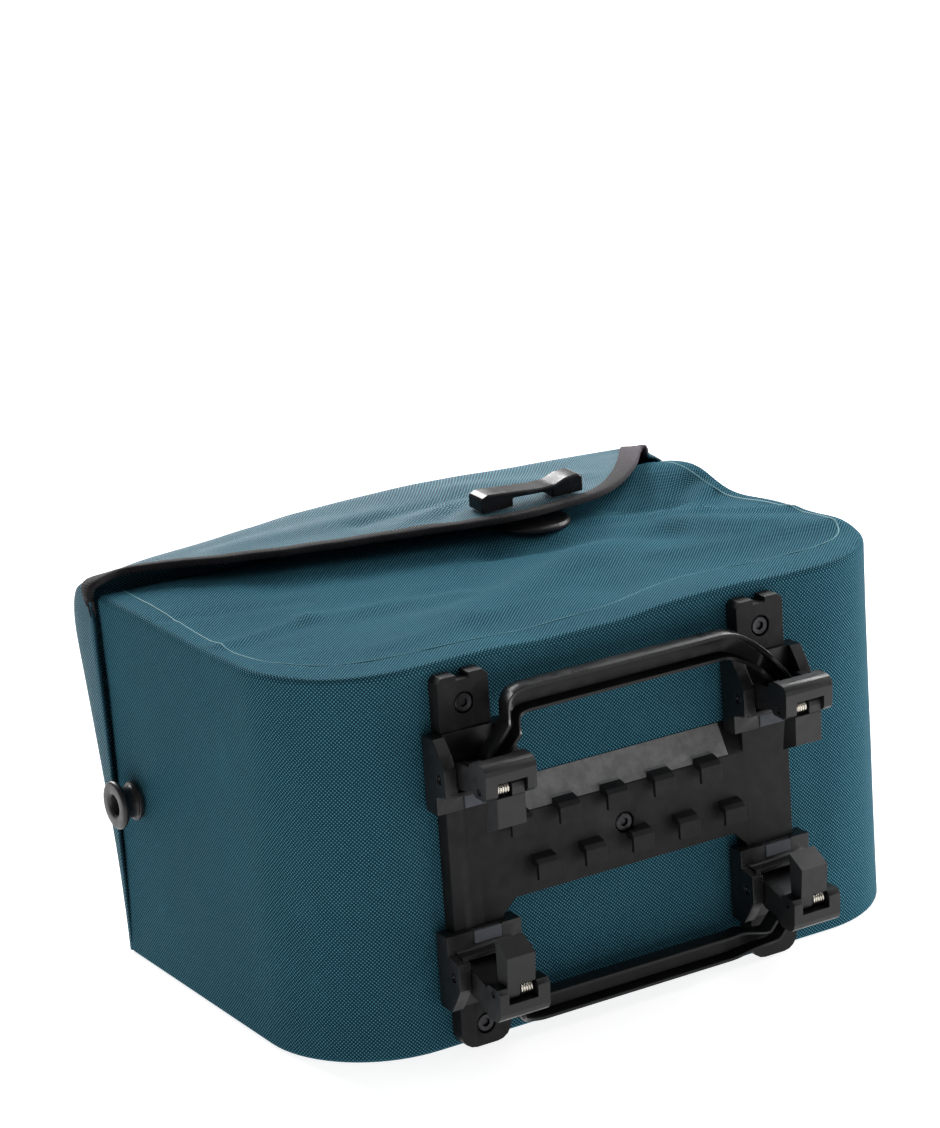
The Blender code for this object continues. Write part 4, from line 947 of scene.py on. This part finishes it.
def edge_tape():
    """The folded tape along the flap's free edge, wider at its right end."""
    edge = [point for point, _ in lid_grid[-1]]
    inner = [point for point, _ in lid_grid[-1 - LID_REFINE_DOWN]]
    bm = bmesh.new()
    uv = bm.loops.layers.uv.new("cloth")
    slot = CLOTH / 2 + TAPE_PLAY
    outer = slot + TAPE_THICKNESS
    rings = []
    lengths = []
    run = 0.0
    for index, point in enumerate(edge):
        before = edge[max(index - 1, 0)]
        after = edge[min(index + 1, len(edge) - 1)]
        if index:
            run += (point - before).length
        tangent = (after - before).normalized()
        inward = (inner[index] - point).normalized()
        normal = tangent.cross(inward).normalized()
        slant = max((inward - tangent * inward.dot(tangent)).length, TAPE_MIN_SLANT)
        widening = flap_value("tape", point.x)
        room = edge_room(index) * (TAPE_ROOM_AT_CORNER if widening > 1 else TAPE_ROOM)
        width = min(lerp(TAPE_NARROW, TAPE_WIDE, widening) / slant, room)
        hem = width + dented(point, TAPE_DENTS)
        waist = width * TAPE_WAIST
        bend = TAPE_BACK * TAPE_ROUND
        profile = ((hem, TAPE_HEM - outer), (waist, -outer), (0, -outer), (-bend, -outer * TAPE_ROUND),
                   (-TAPE_BACK, 0), (-bend, outer * TAPE_ROUND), (0, outer), (waist, outer),
                   (hem, outer - TAPE_HEM), (hem, slot), (0, slot), (0, -slot), (hem, -slot))
        rings.append([bm.verts.new(point + inward * a + normal * b) for a, b in profile])
        lengths.append(run)
    across = [0.0]
    for before, after in zip(profile, profile[1:]):
        across.append(across[-1] + math.dist(before, after))
    count = len(profile)
    for i in range(len(rings) - 1):
        for j in range(count):
            k = (j + 1) % count
            spots = ((i, j), (i, k), (i + 1, k), (i + 1, j))
            face = bm.faces.new([rings[a][b] for a, b in spots])
            for loop, (a, b) in zip(face.loops, spots):
                loop[uv].uv = (lengths[a], across[b])
    for ring in (rings[0], rings[-1]):
        bm.faces.new(ring)
    return mesh_of(bm)


tape = new_piece("flap_tape", edge_tape(), tape_look, angle=50)
finish_piece(tape, "bag", "edge_binding", "flap_binding")


# Hard pieces

def softened(node, slot, material, width, segments=2, limit=28):
    """A moulded piece with the small radii that its edges have."""
    source = frame["nodes"][node]
    bm = bmesh.new()
    bm.from_mesh(source.data)
    bmesh.ops.remove_doubles(bm, verts=bm.verts[:], dist=SAME_PLACE)
    bmesh.ops.dissolve_limit(bm, angle_limit=math.radians(FLAT_ANGLE), verts=bm.verts[:],
                             edges=bm.edges[:])
    piece = new_piece(node + "_moulded", mesh_of(bm), material, angle=40)
    bevel = piece.modifiers.new("edges", "BEVEL")
    bevel.width = width
    bevel.segments = segments
    bevel.limit_method = "ANGLE"
    bevel.angle_limit = math.radians(limit)
    bevel.use_clamp_overlap = True
    bevel.harden_normals = True
    finish_piece(piece, source["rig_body"], slot, node)


def middle_of(node):
    low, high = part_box(node)
    return (low + high) / 2, high - low


softened("base_plate", "black_plastic", plate_look, width=0.4 * MM)
softened("closure_buckle", "buckle_plastic", buckle_look, width=0.9 * MM, segments=3, limit=30)
softened("closure_disc", "black_plastic", stud_look, width=0.6 * MM, segments=3, limit=40)
CORNERS = [level + "_" + side for level in ("upper", "lower") for side in ("left", "right")]
for corner_name in CORNERS:
    softened("bracket_" + corner_name, "black_plastic", plastic_look, width=0.4 * MM)
    softened("jaw_pad_" + corner_name, "grey_rubber", rubber_look, width=0.3 * MM)
    softened("arm_" + corner_name, "black_plastic", plastic_look, width=0.45 * MM)
    softened("tongue_" + corner_name, "black_plastic", tongue_look, width=0.35 * MM)


def pin(node):
    """A turned pin with chamfered, dished ends."""
    centre, size = middle_of(node)
    radius, half = size.z / 2, size.x / 2
    profile = [(back * radius - half, reach * radius) for back, reach in PIN_END]
    profile += [(half - back * radius, reach * radius) for back, reach in reversed(PIN_END)]
    piece = new_piece(node + "_turned", lathe(profile, PIN_SIDES), dark_steel_look, angle=45)
    piece.location = centre
    finish_piece(piece, frame["nodes"][node]["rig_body"], "dark_steel", node)


def spring(node):
    """A close torsion spring, coiled round its pin."""
    centre, size = middle_of(node)
    radius = size.y / 2 - SPRING_SINK * SPRING_WIRE
    half = size.x / 2 - SPRING_WIRE
    curve = bpy.data.curves.new(node + "_coil", "CURVE")
    curve.dimensions = "3D"
    curve.bevel_depth = SPRING_WIRE
    curve.bevel_resolution = 4
    curve.use_fill_caps = True
    line = curve.splines.new("POLY")
    count = SPRING_TURNS * SPRING_STEPS
    line.points.add(count)
    for index in range(count + 1):
        angle = 2 * math.pi * index / SPRING_STEPS
        x = lerp(-half, half, index / count)
        line.points[index].co = (x, radius * math.cos(angle), radius * math.sin(angle), 1)
    temporary = bpy.data.objects.new("coil", curve)
    bpy.context.scene.collection.objects.link(temporary)
    bpy.context.view_layer.update()
    solid = temporary.evaluated_get(bpy.context.evaluated_depsgraph_get())
    mesh = bpy.data.meshes.new_from_object(solid)
    bpy.data.objects.remove(temporary)
    piece = new_piece(node + "_wire", mesh, steel_look, angle=60)
    piece.location = centre
    finish_piece(piece, frame["nodes"][node]["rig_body"], "steel", node)


def screw(node):
    """A low screw head with a chamfered rim and a six-sided socket."""
    centre, size = middle_of(node)
    radius, back = size.x / 2, size.y / 2
    face = -back
    bm = bmesh.new()

    def ring(inner, y, hexagon=False):
        verts = []
        for side in range(SCREW_SIDES):
            angle = 2 * math.pi * side / SCREW_SIDES
            reach = inner
            if hexagon:
                reach = inner / math.cos((angle + math.pi / 6) % (math.pi / 3) - math.pi / 6)
            verts.append(bm.verts.new((reach * math.cos(angle), y, reach * math.sin(angle))))
        return verts

    loops = [ring(radius, back), ring(radius, face + SCREW_CHAMFER), ring(radius - SCREW_CHAMFER, face)]
    loops += [ring(radius * share, face + depth, hexagon) for share, depth, hexagon in SCREW_DISH]
    loops.append(ring(radius * SCREW_SOCKET, back - SCREW_FLOOR, True))
    for first, second in zip(loops, loops[1:]):
        join_rings(bm, first, second)
    bm.faces.new(loops[0])
    bm.faces.new(loops[-1])
    piece = new_piece(node + "_head", mesh_of(bm), dark_steel_look, angle=35)
    piece.location = centre
    finish_piece(piece, "bag", "dark_steel", node)


def stud(node, side):
    """A round strap stud: a waisted neck under a rolled rim with a deep hole."""
    low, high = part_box(node)
    centre = (low + high) / 2
    mesh = lathe([(along * MM, radius * MM) for along, radius in STUD_PROFILE], STUD_SIDES)
    piece = new_piece(node + "_turned", mesh, stud_look, angle=40)
    piece.location = (low.x if side > 0 else high.x, centre.y, centre.z)
    piece.rotation_euler = (0, 0, 0 if side > 0 else math.pi)
    finish_piece(piece, "bag", "black_plastic", node)


screw("centre_screw")
for corner_name in CORNERS:
    pin("bracket_pin_" + corner_name)
    pin("tongue_pin_" + corner_name)
    spring("spring_" + corner_name)
    screw("leg_screw_" + corner_name)
stud("strap_stud_left", -1)
stud("strap_stud_right", 1)


def bail_path():
    """Half of the handle's centre line: (x, along, out, half width)."""
    toe = Vector((LEG_SPACING / 2 - BAIL_TOE, BAIL_TOE_ALONG))
    ankle = Vector((toe.x, BAIL_ANKLE_ALONG))
    knee = Vector((LEG_SPACING / 2 - BAIL_SPLAY, BAIL_ALONG))
    start = knee + (ankle - knee).normalized() * BAIL_BEND
    end = knee - Vector((BAIL_BEND, 0))
    points = [toe, ankle]
    points += [ankle.lerp(start, step / BAIL_LEG_STEPS) for step in range(1, BAIL_LEG_STEPS + 1)]
    for step in range(1, BAIL_BEND_STEPS):
        share = step / BAIL_BEND_STEPS
        points.append(start.lerp(knee, share).lerp(knee.lerp(end, share), share))
    points += [end, end * 0.5 + Vector((0, BAIL_ALONG * 0.5)), Vector((0, BAIL_ALONG))]
    path = []
    for point in points:
        share = smoothstep(BRACKET_TOP + BAIL_WALL, BAIL_ALONG, point.y)
        width = lerp(BAIL_LEG_WIDTH, BAIL_HEIGHT, share)
        path.append((point.x, point.y, lerp(BAIL_LEG_OUT, BAIL_BAR_OUT, share), width / 2))
    return path


def channel_section(w):
    """Outline of a channel of half width w: (across, deep) pairs round its walls and rounded lips."""
    t, d, r = BAIL_WALL, BAIL_DEPTH, BAIL_LIP
    return [(-w, r), (0.3 * r - w, 0.3 * r), (r - w, 0),
            (w - r, 0), (w - 0.3 * r, 0.3 * r), (w, r),
            (w, d - 0.5 * r), (w - 0.3 * r, d), (w - t + 0.3 * r, d), (w - t, d - 0.5 * r),
            (w - t, t + r), (w - t - 0.35 * r, t + 0.3 * r), (w - t - r, t),
            (t + r - w, t), (t + 0.35 * r - w, t + 0.3 * r), (t - w, t + r),
            (t - w, d - 0.5 * r), (t - w - 0.3 * r, d), (0.3 * r - w, d), (-w, d - 0.5 * r)]


def bail(node, level, side):
    """A release handle: a channel with rounded lips, open away from the bag."""
    half = bail_path()
    path = half + [(-x, along, out, width) for x, along, out, width in reversed(half[:-1])]
    rings = []
    for index, (x, along, out, width) in enumerate(path):
        before = path[max(index - 1, 0)]
        after = path[min(index + 1, len(path) - 1)]
        run = Vector((after[0] - before[0], after[1] - before[1])).normalized()
        normal = Vector((run.y, -run.x))
        ring = []
        for across, deep in channel_section(width):
            y = -(out + deep - PIN_OUT)
            z = side * (along + normal.y * across - PIN_ALONG)
            ring.append(Vector((x + normal.x * across, y, z)))
        rings.append(ring)
    mesh = tube_between(rings)
    place = Matrix.Translation((PLATE_X, PLATE_FRONT_Y - PIN_OUT, PLATE_Z + side * PIN_ALONG))
    mesh.transform(place @ Matrix.Rotation(RELEASE_SAG, 4, "X"))
    piece = new_piece(node + "_moulded", mesh, bail_look, angle=32)
    finish_piece(piece, level + "_release", "black_plastic", node)


bail("bail_upper", "upper", 1)
bail("bail_lower", "lower", -1)


# Floor, light and camera

def floor_look(name):
    g = Graph(name)
    g.shader.inputs["Emission Color"].default_value = (1, 1, 1, 1)
    g.shader.inputs["Emission Strength"].default_value = FLOOR_GLOW
    place = g.put("ShaderNodeTexCoord").outputs["Object"]
    darker = tuple(c * 0.99 for c in FLOOR_COLOUR[:3]) + (1,)
    shade = g.mix(g.noise(place, 1.5, 2.0), FLOOR_COLOUR, darker)
    return g.done(Base_Color=shade, Roughness=FLOOR_ROUGHNESS)


def put_in_scene(name, data):
    thing = bpy.data.objects.new(name, data)
    bpy.context.scene.collection.objects.link(thing)
    return thing


floor_mesh = bpy.data.meshes.new("floor")
floor_corners = [(x * FLOOR_REACH, y * FLOOR_REACH, 0) for x, y in ((-1, -1), (1, -1), (1, 1), (-1, 1))]
floor_mesh.from_pydata(floor_corners, [], [(0, 1, 2, 3)])
floor = put_in_scene("floor", floor_mesh)
floor.location.z = -FLOOR_DROP
floor_mesh.materials.append(floor_look("floor_white"))

world = bpy.data.worlds.new("studio")
bpy.context.scene.world = world
world.use_nodes = True
background = world.node_tree.nodes["Background"]
background.inputs["Color"].default_value = (1.0, 1.0, 1.0, 1)
background.inputs["Strength"].default_value = SKY_STRENGTH
bpy.context.scene.view_settings.view_transform = "Standard"

sun = bpy.data.lights.new("overhead_diffuser", "SUN")
sun.angle = math.radians(SUN_SPREAD)
sun.energy = SUN_STRENGTH
sun_holder = put_in_scene("overhead_diffuser", sun)
sun_holder.rotation_euler = Vector(SUN_TOWARDS).to_track_quat("-Z", "Y").to_euler()

for box in SOFTBOXES:
    lamp = bpy.data.lights.new(box.name, "AREA")
    lamp.shape = "RECTANGLE"
    lamp.size, lamp.size_y = box.size
    lamp.energy = box.power
    holder = put_in_scene(box.name, lamp)
    holder.location = box.place
    aim = Vector(box.target) - Vector(box.place)
    holder.rotation_euler = aim.to_track_quat("-Z", "Y").to_euler()

camera_data = bpy.data.cameras.new("camera")
camera = put_in_scene("camera", camera_data)
bpy.context.scene.camera = camera
azimuth, down, roll = [math.radians(angle) for angle in (CAMERA_AZIMUTH, CAMERA_DOWN, CAMERA_ROLL)]
forward = Vector((math.sin(azimuth) * math.cos(down), math.cos(azimuth) * math.cos(down),
                  -math.sin(down)))
right = Vector((math.cos(azimuth), -math.sin(azimuth), 0))
up = right.cross(forward)
right_rolled = right * math.cos(roll) + up * math.sin(roll)
up_rolled = up * math.cos(roll) - right * math.sin(roll)
basis = Matrix((right_rolled, up_rolled, -forward)).transposed()
camera.matrix_world = Matrix.Translation(CAMERA_PLACE) @ basis.to_4x4()
camera_data.sensor_fit = "VERTICAL"
camera_data.sensor_height = SENSOR_HEIGHT
camera_data.lens = CAMERA_LENS
camera_data.clip_end = CAMERA_CLIP_END
